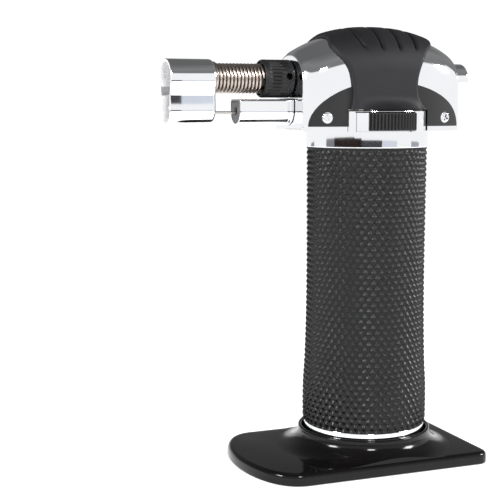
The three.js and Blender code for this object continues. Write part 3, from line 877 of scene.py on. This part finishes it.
def add_collar():
    box_low, box_high = low("collar_ring"), high("collar_ring")
    radius = box_high.x
    profile = ring_profile(18.5 * MM, radius, box_low.z, box_high.z, 0.35 * MM)
    start, stop = dial_angles()
    turn = joint("gas_dial_turn")["range_deg"][1]
    pad_low, pad_high = dial_pad_heights()
    windows = []
    for half_turn in (0.0, 180.0):
        first = start - turn - 1.0 + half_turn - 90.0
        last = stop + 1.0 + half_turn - 90.0
        outline = arc((0.0, 0.0), radius + 3 * MM, first, last, 24)
        outline += arc((0.0, 0.0), 15 * MM, last, first, 24)
        windows.append(solid(prism(outline, pad_low - 0.3 * MM, pad_high + 0.3 * MM, "Z")))
    new_piece(
        "collar", spun(profile, steps=160), TORCH, ["collar_ring"], chrome_finish(), 30.0, windows
    )


def add_marks():
    """Etched marks beside the dial: a dot at the closed end, a cross at the open end."""
    radius = high("collar_ring").x
    middle = (low("collar_ring").z + high("collar_ring").z) / 2 + 2.4 * MM
    bars = [
        ("closed_bar", -47.0, 0.0, 2.6 * MM, 0.55 * MM),
        ("closed_dot", -47.0, -2.0 * MM, 0.7 * MM, 0.7 * MM),
        ("open_bar", 32.0, 0.0, 2.6 * MM, 0.55 * MM),
        ("open_upright", 32.0, 0.0, 0.55 * MM, 2.6 * MM),
    ]
    for name, degrees, lift, wide, tall in bars:
        mesh_edit = slab(12, 4)
        for vert in mesh_edit.verts:
            angle = math.radians(degrees - 90.0) + vert.co.x * wide / 2 / radius
            reach = radius + (0.012 if vert.co.z < 0.5 else -0.2) * MM
            height = middle + lift + vert.co.y * tall / 2
            vert.co = Vector((math.cos(angle) * reach, math.sin(angle) * reach, height))
        new_piece(f"mark_{name}", mesh_edit, TORCH, [], mark_finish())


class TORCH_OT_head(bpy.types.Operator):
    """Plated head housing"""

    bl_idname = "torch.head"
    bl_label = "Head"

    def execute(self, context):
        add_head()
        return {"FINISHED"}


def collar_clearance(segments=128):
    radius = high("collar_ring").x + 0.3 * MM
    return cylinder(radius, 0.09, high("collar_ring").z + 0.3 * MM, "Z", segments=segments)


def plate_outline(grow, steps=48):
    half, tall = sizes().plate_half_length + grow, sizes().plate_height + grow
    base = low("side_plate_near").z - grow
    upper = [
        (half * math.cos(math.pi * i / steps), base + (tall + grow) * math.sin(math.pi * i / steps))
        for i in range(steps + 1)
    ]
    return upper


def add_head():
    box_low, box_high = low("head_shell"), high("head_shell")
    shell = head_block(0.0, box_low.x, box_high.x, box_low.z, edge=sizes().head_edge)
    inner = head_block(sizes().head_wall, box_low.x + 2 * MM, box_high.x - 2 * MM, box_low.z + 1.6 * MM, 20)
    burner = cylinder(5.2 * MM, -0.04, -0.02, "X", (0.0, 0.0, BURNER_Z))
    button_box = BOXES["ignition_button"]
    button_z = (button_box[0].z + button_box[1].z) / 2
    button_radius = (button_box[1].z - button_box[0].z) / 2
    button = cylinder(button_radius + 0.3 * MM, 0.02, 0.04, "X", (0.0, 0.0, button_z))
    barrel = solid(prism(barrel_outline(0.3 * MM), -0.034, -0.02, "X"))
    cuts = [solid(inner), collar_clearance(), burner, button, barrel]
    new_piece("head_housing", shell, TORCH, ["head_shell"], chrome_finish(), 32.0, cuts)


def plate_sheet(sign, grow, outer, inner):
    """Half-oval sheet that follows the head's side between two offsets."""
    outline = plate_outline(grow)
    mesh_edit = slab(64, 24)
    base = outline[0][1]
    half = outline[0][0]
    tall = max(z for _, z in outline) - base
    for vert in mesh_edit.verts:
        up = (vert.co.y + 1.0) / 2
        x = half * math.cos(math.asin(clamp(up) * 0.999)) * vert.co.x
        z = base + tall * up
        offset = outer if vert.co.z < 0.5 else inner
        vert.co = Vector((x, sign * wall_side(x, z, offset), z))
    return mesh_edit


class TORCH_OT_plates(bpy.types.Operator):
    """Black side plates and their four screws"""

    bl_idname = "torch.plates"
    bl_label = "Side plates"

    def execute(self, context):
        for word, sign in (("near", -1), ("far", 1)):
            add_plate(word, sign)
            for end in ("front", "rear"):
                add_screw(word, sign, end)
        return {"FINISHED"}


def screw_place(word, end):
    box_low, box_high = BOXES[f"plate_screw_{word}_{end}"]
    return (box_low + box_high) / 2, box_low, box_high


def add_plate(word, sign):
    cuts = [collar_clearance()]
    for end in ("front", "rear"):
        middle, box_low, box_high = screw_place(word, end)
        radius = (box_high.z - box_low.z) / 2 + 0.12 * MM
        cuts.append(cylinder(radius, sign * 0.006, sign * 0.03, "Y", (middle.x, 0.0, middle.z), 40))
    sheet = plate_sheet(sign, 0.0, -sizes().plate_proud, 0.35 * MM)
    new_piece(
        f"plate_{word}", sheet, TORCH, [f"side_plate_{word}"], plate_finish(), 30.0, cuts,
        rounding=0.18 * MM,
    )


def add_screw(word, sign, end):
    middle, box_low, box_high = screw_place(word, end)
    radius = (box_high.z - box_low.z) / 2
    face = max(abs(box_low.y), abs(box_high.y))
    profile = [(0.0, face), (radius * 0.7, face - 0.03 * MM)]
    profile += arc((radius - 0.35 * MM, face - 0.4 * MM), 0.35 * MM, 80, 0, 6)
    profile += [(radius, face - 0.95 * MM), (0.9 * MM, face - 1.1 * MM)]
    profile += [(0.9 * MM, face - 4 * MM), (0.0, face - 4 * MM)]
    mesh_edit = spun(profile, steps=48)
    slots = []
    for wide, deep in ((radius * 0.66, 0.27 * MM), (0.27 * MM, radius * 0.66)):
        outline = [(-wide, -deep), (wide, -deep), (wide, deep), (-wide, deep)]
        slots.append(solid(prism(outline, face - 0.7 * MM, face + 0.003, "Z")))
    turn = Matrix.Rotation(math.radians(-90.0 * sign), 4, "X")
    shift = Matrix.Translation((middle.x, 0.0, middle.z))
    twist = Matrix.Rotation(math.radians(18.0 if end == "front" else -24.0), 4, "Z")
    place = shift @ turn @ twist
    bmesh.ops.transform(mesh_edit, matrix=place, verts=mesh_edit.verts[:])
    for cutter in slots:
        cutter.data.transform(place)
    name = f"plate_screw_{word}_{end}"
    screw = new_piece(f"screw_{word}_{end}", mesh_edit, TORCH, [name], chrome_finish(), 30.0, slots)
    # Painted shade: the cross recess of the chrome screw gets a black finish.
    paint_recess_shade(screw, middle, radius * 0.72, face - 0.6 * MM)


def paint_recess_shade(screw, middle, reach, floor):
    """Paints the walls and floor of the cross recess black: painted shade in the recess."""
    screw.data.materials.append(seal_black_and_painted_shade())
    for face in screw.data.polygons:
        beside = math.hypot(face.center.x - middle.x, face.center.z - middle.z)
        depth = abs(face.center.y)
        if beside < reach and floor - 0.2 * MM < depth < floor + 0.5 * MM and abs(face.normal.y) < 0.5:
            face.material_index = 1
        elif beside < reach and floor - 0.2 * MM < depth < floor + 0.1 * MM:
            face.material_index = 1


class TORCH_OT_saddle(bpy.types.Operator):
    """Rubber saddle grip with grip grooves"""

    bl_idname = "torch.saddle"
    bl_label = "Saddle grip"

    def execute(self, context):
        add_saddle()
        return {"FINISHED"}


# Reach of the saddle from its middle to its front and to its rear edge, against height.
SADDLE_FRONT = [
    (114.3 * MM, 13.4 * MM),
    (116.6 * MM, 12.7 * MM),
    (120 * MM, 12.6 * MM),
    (124.8 * MM, 13.3 * MM),
    (127.8 * MM, 14.5 * MM),
    (130 * MM, 16.1 * MM),
    (132 * MM, 17.5 * MM),
    (134 * MM, 18.1 * MM),
    (136.5 * MM, 17.0 * MM),
    (141 * MM, 16.6 * MM),
]
SADDLE_REAR = [
    (114.3 * MM, 13.4 * MM),
    (116.2 * MM, 11.6 * MM),
    (119 * MM, 10.3 * MM),
    (123 * MM, 10.1 * MM),
    (126.8 * MM, 11.0 * MM),
    (130.6 * MM, 13.2 * MM),
    (132.6 * MM, 15.2 * MM),
    (134 * MM, 17.6 * MM),
    (135.6 * MM, 19.1 * MM),
    (141 * MM, 19.4 * MM),
]
# Places of the grip grooves along the roof, and how far each leans by its lower end.
GROOVES = [(-9.4 * MM, 1.8 * MM), (-2.1 * MM, 0.1 * MM), (4.3 * MM, -0.3 * MM), (10.5 * MM, -0.7 * MM)]
GROOVE_END = 132.0 * MM


def add_saddle():
    foot = low("grip_saddle").z
    mesh_edit = slab(150, 112)
    for vert in mesh_edit.verts:
        inside = vert.co.z > 0.5
        vert.co = saddle_point(vert.co.x, vert.co.y, inside, foot)
    new_piece("saddle_grip", mesh_edit, TORCH, ["grip_saddle"], rubber_finish(), 60.0)


def saddle_skin(x, along, offset, foot):
    """A point on the head's skin, with along running from one foot (-1) over the roof (0) to the other."""
    side = math.copysign(1.0, along) if along else 1.0
    climb = abs(along)
    if climb < 0.55:
        angle = math.radians(90) * climb / 0.55
        across = side * math.sin(angle) ** 0.95
        return head_point(x, across, 1.0 + math.cos(angle) ** 0.95, offset, foot)
    rise = 1.0 - (climb - 0.55) / 0.45
    return head_point(x, side, rise, offset, foot)


def saddle_point(u, along, inside, foot):
    way = -1.0 if u < 0 else 1.0
    table = SADDLE_FRONT if u < 0 else SADDLE_REAR
    reach = 15 * MM
    for _ in range(14):
        height = saddle_skin(way * reach, along, 0.0, foot).z
        reach = 0.5 * (reach + value_along(table, height))
    x = u * reach
    base = saddle_skin(x, along, 0.0, foot)
    margin = (1.0 - abs(u)) * reach
    edge = 1.1 * MM
    swell = math.sqrt(max(0.0, 1.0 - (1.0 - clamp(margin / edge)) ** 2))
    thickness = 0.14 * MM + sizes().grip_thickness * (0.25 + 0.75 * swell)
    thickness -= groove_cut(x, base.z) * swell
    offset = -0.12 * MM if inside else -thickness
    point = saddle_skin(x, along, offset, foot)
    point = flared_foot(point, foot, swell, inside)
    return point


def groove_cut(x, z):
    deep = 0.0
    fade = smooth((z - GROOVE_END) / (1.6 * MM))
    down = clamp((138.5 * MM - z) / (138.5 * MM - GROOVE_END))
    for place, lean in GROOVES:
        middle = place + lean * down * down
        across = (x - middle) / MM
        deep += math.exp(-((across / (0.32 if across < 0 else 0.75)) ** 2))
    return sizes().groove_depth * deep * fade


def flared_foot(point, foot, swell, inside):
    """Leads the foot of each strap out to the collar's rim in a hollow curve."""
    rise = 4.6 * MM
    if point.z > foot + rise or inside:
        return point
    rim = high("collar_ring").x - 0.25 * MM
    target = math.sqrt(max(rim * rim - point.x * point.x, 0.0))
    pull = (1.0 - (point.z - foot) / rise) ** 2.4
    outward = abs(point.y)
    if target > outward:
        outward += (target - outward) * pull * (0.2 + 0.8 * swell)
    point.y = math.copysign(outward, point.y)
    return point


class TORCH_OT_burner(bpy.types.Operator):
    """Air collar, burner tube, heat coil and flame guard"""

    bl_idname = "torch.burner"
    bl_label = "Burner"

    def execute(self, context):
        add_air_collar()
        add_burner_tube()
        add_coil()
        add_guard()
        return {"FINISHED"}


def add_air_collar():
    box_low, box_high = BOXES["air_collar"]
    radius = box_high.y
    bore = 5.2 * MM
    front, rear = box_low.x, box_high.x
    profile = [(bore, front + 0.15 * MM), (bore + 0.15 * MM, front), (radius - 1.0 * MM, front)]
    profile += arc_profile(radius - 0.7 * MM, front + 0.8 * MM, 0.7 * MM, 0.8 * MM)
    ribs_from, ribs_to = front + 1.7 * MM, rear - 3.6 * MM
    fine = [ribs_from + (ribs_to - ribs_from) * step / 10 for step in range(11)]
    profile += [(radius, place) for place in fine]
    profile += [(radius, rear - 0.2 * MM), (radius - 0.2 * MM, rear), (bore, rear)]
    ribs = sizes().collar_ribs
    mesh_edit = spun(profile, "X", BURNER_Z, ribs * 6)
    for vert in mesh_edit.verts:
        out = Vector((0.0, vert.co.y, vert.co.z - BURNER_Z))
        if out.length < radius - 0.05 * MM or not ribs_from - 1e-6 < vert.co.x < ribs_to + 1e-6:
            continue
        ends = min(vert.co.x - ribs_from, ribs_to - vert.co.x)
        wave = 0.5 - 0.5 * math.cos(math.atan2(out.z, out.y) * ribs)
        drop = 0.42 * MM * wave**1.4 * smooth(ends / (0.5 * MM))
        out *= (out.length - drop) / out.length
        vert.co.y, vert.co.z = out.y, BURNER_Z + out.z
    hole = cylinder(1.1 * MM, -0.008, 0.0, "Y", (-29.7 * MM, 0.0, BURNER_Z + 0.6 * MM), 24)
    new_piece(
        "air_ring", mesh_edit, "air_collar", ["air_collar"], plate_finish(), 45.0, [hole]
    )


def arc_profile(radius, along, tall, wide):
    """A quarter round from a front face out to a cylinder, as (radius, place) pairs."""
    points = []
    for step in range(6):
        angle = math.radians(90) * step / 5
        points.append((radius + tall * math.sin(angle), along - wide * math.cos(angle)))
    return points


def add_burner_tube():
    box_low, box_high = BOXES["burner_tube"]
    profile = ring_profile(2.7 * MM, box_high.y, box_low.x, box_high.x, 0.2 * MM)
    new_piece(
        "burner_pipe",
        spun(profile, "X", BURNER_Z, 64),
        TORCH,
        ["burner_tube"],
        burner_finish(),
    )
    box_low, box_high = BOXES["coil_flange"]
    profile = ring_profile(3.6 * MM, box_high.y, box_low.x - 0.1 * MM, box_high.x + 0.2 * MM, 0.12 * MM)
    new_piece(
        "coil_washer", spun(profile, "X", BURNER_Z, 64), TORCH, ["coil_flange"], coil_finish()
    )


def add_coil():
    box_low, box_high = BOXES["heat_coil"]
    wire = 0.45 * MM
    radius = box_high.y - wire
    start, stop = box_low.x + wire, low("air_collar").x - 0.1 * MM
    turns = sizes().coil_turns
    per_turn = 36
    mesh_edit = bmesh.new()
    made = bmesh.ops.create_circle(mesh_edit, cap_ends=False, radius=wire, segments=10)["verts"]
    bmesh.ops.translate(mesh_edit, verts=made, vec=(start, radius, BURNER_Z))
    steps = int(turns * per_turn)
    bmesh.ops.spin(
        mesh_edit,
        geom=mesh_edit.verts[:] + mesh_edit.edges[:],
        cent=(0.0, 0.0, BURNER_Z),
        axis=X_AXIS,
        dvec=((stop - start) / steps, 0.0, 0.0),
        angle=TURN * turns,
        steps=steps,
        use_merge=False,
        use_duplicate=False,
    )
    open_ends = [edge for edge in mesh_edit.edges if edge.is_boundary]
    bmesh.ops.holes_fill(mesh_edit, edges=open_ends, sides=0)
    new_piece("coil_wire", mesh_edit, TORCH, ["heat_coil"], coil_finish(), 50.0)


GUARD_SLOT = 4.9 * MM
GUARD_WALL = 0.8 * MM


def guard_outline(inset=0.0, steps=40):
    """Keyhole section: a round bore over a narrower slot with a round bottom, the waist softened."""
    box_low, box_high = BOXES["flame_guard"]
    radius = box_high.y - inset
    half = GUARD_SLOT - inset
    centre = box_high.z - box_high.y
    waist = math.degrees(math.asin(half / radius))
    upper = arc((0.0, centre), radius, -90 + waist + 8, 270 - waist - 8, steps)
    lower = arc((0.0, box_low.z + GUARD_SLOT), half, 180, 360, steps // 2)
    straight = 1.6 * MM
    drop = centre - math.sqrt(radius**2 - half**2) - straight
    return upper + [(-half, drop)] + lower + [(half, drop)]


def add_guard():
    box_low, box_high = BOXES["flame_guard"]
    mesh_edit = prism(guard_outline(), box_low.x, box_high.x, "X")
    rear = [e for e in mesh_edit.edges if all(v.co.x > box_high.x - 1e-6 for v in e.verts)]
    round_edges(mesh_edit, rear, 1.2 * MM, 6)
    mouth = [e for e in mesh_edit.edges if all(v.co.x < box_low.x + 1e-6 for v in e.verts)]
    round_edges(mesh_edit, mouth, 0.25 * MM, 3)
    hollow = solid(prism(guard_outline(GUARD_WALL), box_low.x - 0.002, box_high.x - 1 * MM, "X"))
    pipe = cylinder(BOXES["burner_tube"][1].y + 0.2 * MM, -0.06, -0.05, "X", (0.0, 0.0, BURNER_Z))
    wire = cylinder(1.3 * MM, -0.06, -0.05, "X", (0.0, 0.0, electrode_height()), 24)
    cuts = [hollow, pipe, wire]
    guard = new_piece("guard", mesh_edit, TORCH, ["flame_guard"], chrome_finish(), 32.0, cuts)
    # Painted light: faces inside the guard get a pale satin grey in place of chrome, so the hollow reads
    # bright.
    guard.data.materials.append(guard_inside_painted_light())
    centre = box_high.z - box_high.y
    for face in guard.data.polygons:
        out = math.hypot(face.center.y, face.center.z - centre)
        low_out = math.hypot(face.center.y, face.center.z - box_low.z - GUARD_SLOT)
        inside = out < box_high.y - 0.6 * MM and face.center.z > centre - 2 * MM
        inside = inside or (abs(face.center.y) < GUARD_SLOT - 0.6 * MM and low_out < GUARD_SLOT - 0.6 * MM)
        inside = inside or (
            abs(face.center.y) < GUARD_SLOT - 0.6 * MM and box_low.z + GUARD_SLOT < face.center.z < centre
        )
        if inside and face.center.x < box_high.x - 0.6 * MM:
            face.material_index = 1


def electrode_height():
    return low("electrode_wire").z + 0.45 * MM


class TORCH_OT_igniter(bpy.types.Operator):
    """Igniter barrel, its insulator, the electrode and the push button"""

    bl_idname = "torch.igniter"
    bl_label = "Igniter"

    def execute(self, context):
        add_barrel()
        add_electrode()
        add_button()
        return {"FINISHED"}


def barrel_outline(grow, steps=28):
    """Section of the igniter barrel: flat on top and round below."""
    box_low, box_high = BOXES["igniter_barrel"]
    collar = 0.25 * MM
    half = box_high.y - collar + grow
    top = box_high.z - collar + grow
    centre = box_low.z + collar + box_high.y - collar
    corner = 0.8 * MM
    points = arc((half - corner, top - corner), corner, 0, 90, 5)
    points += arc((-half + corner, top - corner), corner, 90, 180, 5)
    return points + arc((0.0, centre), half, 180, 360, steps)


def add_barrel():
    box_low, box_high = BOXES["igniter_barrel"]
    mesh_edit = prism(barrel_outline(0.0), box_low.x, box_high.x, "X")
    mouth = [e for e in mesh_edit.edges if all(v.co.x < box_low.x + 1e-6 for v in e.verts)]
    round_edges(mesh_edit, mouth, 0.25 * MM, 3)
    hollow = solid(prism(barrel_outline(-0.32 * MM), box_low.x - 0.002, box_high.x + 0.002, "X"))
    new_piece("barrel", mesh_edit, TORCH, ["igniter_barrel"], chrome_finish(), 32.0, [hollow])
    front = low("head_shell").x
    ring = prism(barrel_outline(0.24 * MM), front - 1.6 * MM, front - 0.15 * MM, "X")
    edges = [e for e in ring.edges if abs(e.verts[0].co.x - e.verts[1].co.x) < 1e-7]
    round_edges(ring, edges, 0.2 * MM, 3)
    bore = solid(prism(barrel_outline(-0.3 * MM), front - 0.004, front + 0.002, "X"))
    new_piece("barrel_ring", ring, TORCH, [], chrome_finish(), 32.0, [bore])
    box_low, box_high = BOXES["barrel_plug"]
    plug = prism(barrel_outline(-0.36 * MM), box_low.x, box_high.x, "X")
    face = [e for e in plug.edges if all(v.co.x < box_low.x + 1e-6 for v in e.verts)]
    round_edges(plug, face, 0.3 * MM, 3)
    mouth_hole = cylinder(
        1.25 * MM, box_low.x - 0.001, box_low.x + 3 * MM, "X", (0.0, 0.0, electrode_height() + 0.6 * MM), 40
    )
    centre = (0.0, 0.0, electrode_height())
    wire_hole = cylinder(0.7 * MM, box_low.x - 0.001, box_high.x + 0.001, "X", centre, 24)
    holes = [mouth_hole, wire_hole]
    new_piece("insulator", plug, TORCH, ["barrel_plug"], plug_finish(), 35.0, holes)


def add_electrode():
    """A thin wire, straight to the guard and then bent up in front of the burner."""
    box_low, box_high = BOXES["electrode_wire"]
    wire = 0.45 * MM
    level = electrode_height()
    front = box_low.x + wire
    bend = 2.6 * MM
    route = [Vector((box_high.x, 0.0, level)), Vector((front + bend + 0.5 * MM, 0.0, level))]
    for step in range(1, 9):
        angle = math.radians(80) * step / 8
        along = front + bend - math.sin(angle) * bend
        up = level + bend - math.cos(angle) * bend
        route.append(Vector((along, 0.0, up)))
    route.append(Vector((front, 0.0, box_high.z - 0.05 * MM)))
    mesh_edit = bmesh.new()
    ring = bmesh.ops.create_circle(mesh_edit, cap_ends=False, radius=wire, segments=14)["verts"]
    bmesh.ops.transform(mesh_edit, matrix=Matrix.Rotation(math.radians(-90), 4, "Y"), verts=ring)
    bmesh.ops.translate(mesh_edit, verts=ring, vec=route[0])
    edges = mesh_edit.edges[:]
    heading = 0.0
    for before, after in zip(route, route[1:]):
        made = bmesh.ops.extrude_edge_only(mesh_edit, edges=edges)["geom"]
        fresh = [part for part in made if isinstance(part, bmesh.types.BMVert)]
        edges = [part for part in made if isinstance(part, bmesh.types.BMEdge)]
        run = after - before
        aim = math.atan2(run.z, -run.x)
        bmesh.ops.translate(mesh_edit, verts=fresh, vec=run)
        bmesh.ops.rotate(
            mesh_edit, verts=fresh, cent=after, matrix=Matrix.Rotation(aim - heading, 3, "Y")
        )
        heading = aim
    bmesh.ops.holes_fill(mesh_edit, edges=[e for e in mesh_edit.edges if e.is_boundary], sides=0)
    new_piece("electrode", mesh_edit, TORCH, ["electrode_wire"], steel_finish(), 50.0)


def add_button():
    box_low, box_high = BOXES["ignition_button"]
    radius = (box_high.z - box_low.z) / 2
    centre = (box_high.z + box_low.z) / 2
    front = box_low.x + 1 * MM
    end = box_high.x
    profile = [(0.0, end), (radius * 0.35, end - 0.03 * MM), (radius * 0.65, end - 0.1 * MM)]
    profile += arc((radius - 0.8 * MM, end - 1.05 * MM), 0.8 * MM, 80, 0, 8)
    profile += [(radius, front), (radius - 1.2 * MM, front), (radius - 1.2 * MM, end - 2.5 * MM)]
    profile += [(2 * MM, end - 2.5 * MM), (2 * MM, front - 1 * MM), (0.0, front - 1 * MM)]
    new_piece(
        "push_button",
        spun(profile, "X", centre, 96),
        "ignition",
        ["ignition_button"],
        chrome_finish(),
    )


class TORCH_OT_dial(bpy.types.Operator):
    """Gas dial with two ribbed pads"""

    bl_idname = "torch.dial"
    bl_label = "Gas dial"

    def execute(self, context):
        add_dial()
        return {"FINISHED"}


def dial_pad_heights():
    return high("gas_dial").z - 5.6 * MM, high("gas_dial").z


def add_dial():
    pad = high("gas_dial").y
    ring = high("gas_dial").x
    pad_low, pad_high = dial_pad_heights()
    start, stop = dial_angles()
    ribs = sizes().dial_ribs
    steps = ribs * 8
    for index, half_turn in enumerate((0.0, 180.0)):
        mesh_edit = bmesh.new()
        outline = rounded(
            [(ring - 1.2 * MM, pad_low), (pad, pad_low), (pad, pad_high), (ring - 1.2 * MM, pad_high)],
            0.55 * MM,
            5,
        )
        fine = spread_outline(outline, 0.6 * MM)
        angle = math.radians(start + half_turn - 90.0)
        corners = [
            mesh_edit.verts.new((math.cos(angle) * radius, math.sin(angle) * radius, z)) for radius, z in fine
        ]
        face = mesh_edit.faces.new(corners)
        bmesh.ops.spin(
            mesh_edit,
            geom=[face] + face.verts[:] + face.edges[:],
            cent=(0.0, 0.0, 0.0),
            axis=Z_AXIS,
            angle=math.radians(stop - start),
            steps=steps,
            use_merge=False,
            use_duplicate=False,
        )
        for vert in mesh_edit.verts:
            radius = math.hypot(vert.co.x, vert.co.y)
            if radius < ring + 0.9 * MM:
                continue
            degrees = math.degrees(math.atan2(vert.co.y, vert.co.x)) - half_turn + 90.0
            degrees = (degrees + 180.0) % 360.0 - 180.0
            phase = (degrees - start) / (stop - start) * ribs
            wave = 0.5 - 0.5 * math.cos(TURN * (phase + 0.5))
            ends = min(vert.co.z - pad_low, pad_high - vert.co.z)
            drop = 0.5 * MM * (1.0 - wave) ** 1.2 * smooth(ends / (0.5 * MM))
            scale = (radius - drop) / radius
            vert.co.x *= scale
            vert.co.y *= scale
        name = "dial_pad_near" if index == 0 else "dial_pad_far"
        new_piece(name, mesh_edit, "gas_dial", [], plate_finish(), 50.0)
    add_dial_hoop()


def add_dial_hoop():
    """Plated hoop that carries the pads, with two arms to its hub."""
    bottom, top = low("gas_dial").z, high("gas_dial").z
    ring = high("gas_dial").x
    bore = ring - 1.4 * MM
    profile = ring_profile(bore, ring, bottom, top, 0.25 * MM)
    new_piece("dial_hoop", spun(profile, steps=128), "gas_dial", ["gas_dial"], chrome_finish())
    hub = spun(ring_profile(5.2 * MM, 6.8 * MM, bottom, bottom + 1.8 * MM, 0.2 * MM), steps=64)
    new_piece("dial_hub", hub, "gas_dial", [], moulding_finish())
    for word, sign in (("near", -1), ("far", 1)):
        outline = [(-1.5 * MM, sign * 6.6 * MM), (1.5 * MM, sign * 6.6 * MM), (1.5 * MM, sign * 16.6 * MM)]
        outline.append((-1.5 * MM, sign * 16.6 * MM))
        arm = prism(outline, bottom, bottom + 1.8 * MM, "Z")
        bmesh.ops.bevel(
            arm, geom=arm.edges[:], offset=0.3 * MM, segments=2, profile=0.5, affect="EDGES", material=-1
        )
        new_piece(f"dial_arm_{word}", arm, "gas_dial", [], moulding_finish())


def spread_outline(points, step):
    """The same closed outline with long edges split into short ones."""
    fine = []
    for here, after in zip(points, points[1:] + points[:1]):
        run = Vector(after) - Vector(here)
        parts = max(1, math.ceil(run.length / step))
        fine += [tuple(Vector(here) + run * part / parts) for part in range(parts)]
    return fine


# Finish of each CAD node that stays as it is.
INNER_FINISHES = {
    "fuel_tank": tank_finish,
    "bottom_plate": moulding_finish,
    "refill_valve_body": brass_finish,
    "refill_stem": brass_finish,
    "feed_wick_tube": ceramic_finish,
    "burner_socket": dark_socket_finish,
    "gas_jet": brass_finish,
    "flame_holder": burner_finish,
    "piezo_body": moulding_finish,
    "igniter_lead": seal_black_and_painted_shade,
    "ignition_plunger": moulding_finish,
    "button_spring": steel_finish,
    "gas_valve_body": brass_finish,
    "valve_o_ring": seal_black_and_painted_shade,
    "valve_stem": brass_finish,
    "gas_lever": steel_finish,
    "lever_pin": steel_finish,
    "chassis": moulding_finish,
    "gas_tube": hose_finish,
}


class TORCH_OT_inner_parts(bpy.types.Operator):
    """Finishes for the frame's own inner pieces"""

    bl_idname = "torch.inner_parts"
    bl_label = "Inner parts"

    def execute(self, context):
        for node, finish in INNER_FINISHES.items():
            mesh = frame["nodes"][node].data
            mesh.materials.clear()
            mesh.materials.append(finish())
        return {"FINISHED"}


class TORCH_PT_panel(bpy.types.Panel):
    """Buttons that build the torch piece by piece"""

    bl_label = "Butane Torch"
    bl_idname = "TORCH_PT_panel"
    bl_space_type = "VIEW_3D"
    bl_region_type = "UI"
    bl_category = "Torch"

    def draw(self, context):
        for operator in OPERATORS:
            self.layout.operator(operator.bl_idname)
        for group in (context.scene.torch_sizes, context.scene.torch_colours):
            for name in group.bl_rna.properties.keys():
                if name not in {"rna_type", "name"}:
                    self.layout.prop(group, name)


OPERATORS = (
    TORCH_OT_stage,
    TORCH_OT_stand,
    TORCH_OT_handle,
    TORCH_OT_head,
    TORCH_OT_plates,
    TORCH_OT_saddle,
    TORCH_OT_burner,
    TORCH_OT_igniter,
    TORCH_OT_dial,
    TORCH_OT_inner_parts,
)
CLASSES = (TorchSizes, TorchColours, *OPERATORS, TORCH_PT_panel)


def register():
    for entry in CLASSES:
        bpy.utils.register_class(entry)
    bpy.types.Scene.torch_sizes = bpy.props.PointerProperty(type=TorchSizes)
    bpy.types.Scene.torch_colours = bpy.props.PointerProperty(type=TorchColours)


def unregister():
    del bpy.types.Scene.torch_colours
    del bpy.types.Scene.torch_sizes
    for entry in reversed(CLASSES):
        bpy.utils.unregister_class(entry)


def main():
    register()
    for operator in OPERATORS:
        group, name = operator.bl_idname.split(".")
        getattr(getattr(bpy.ops, group), name)()
    bpy.context.view_layer.update()


if __name__ == "__main__":
    main()
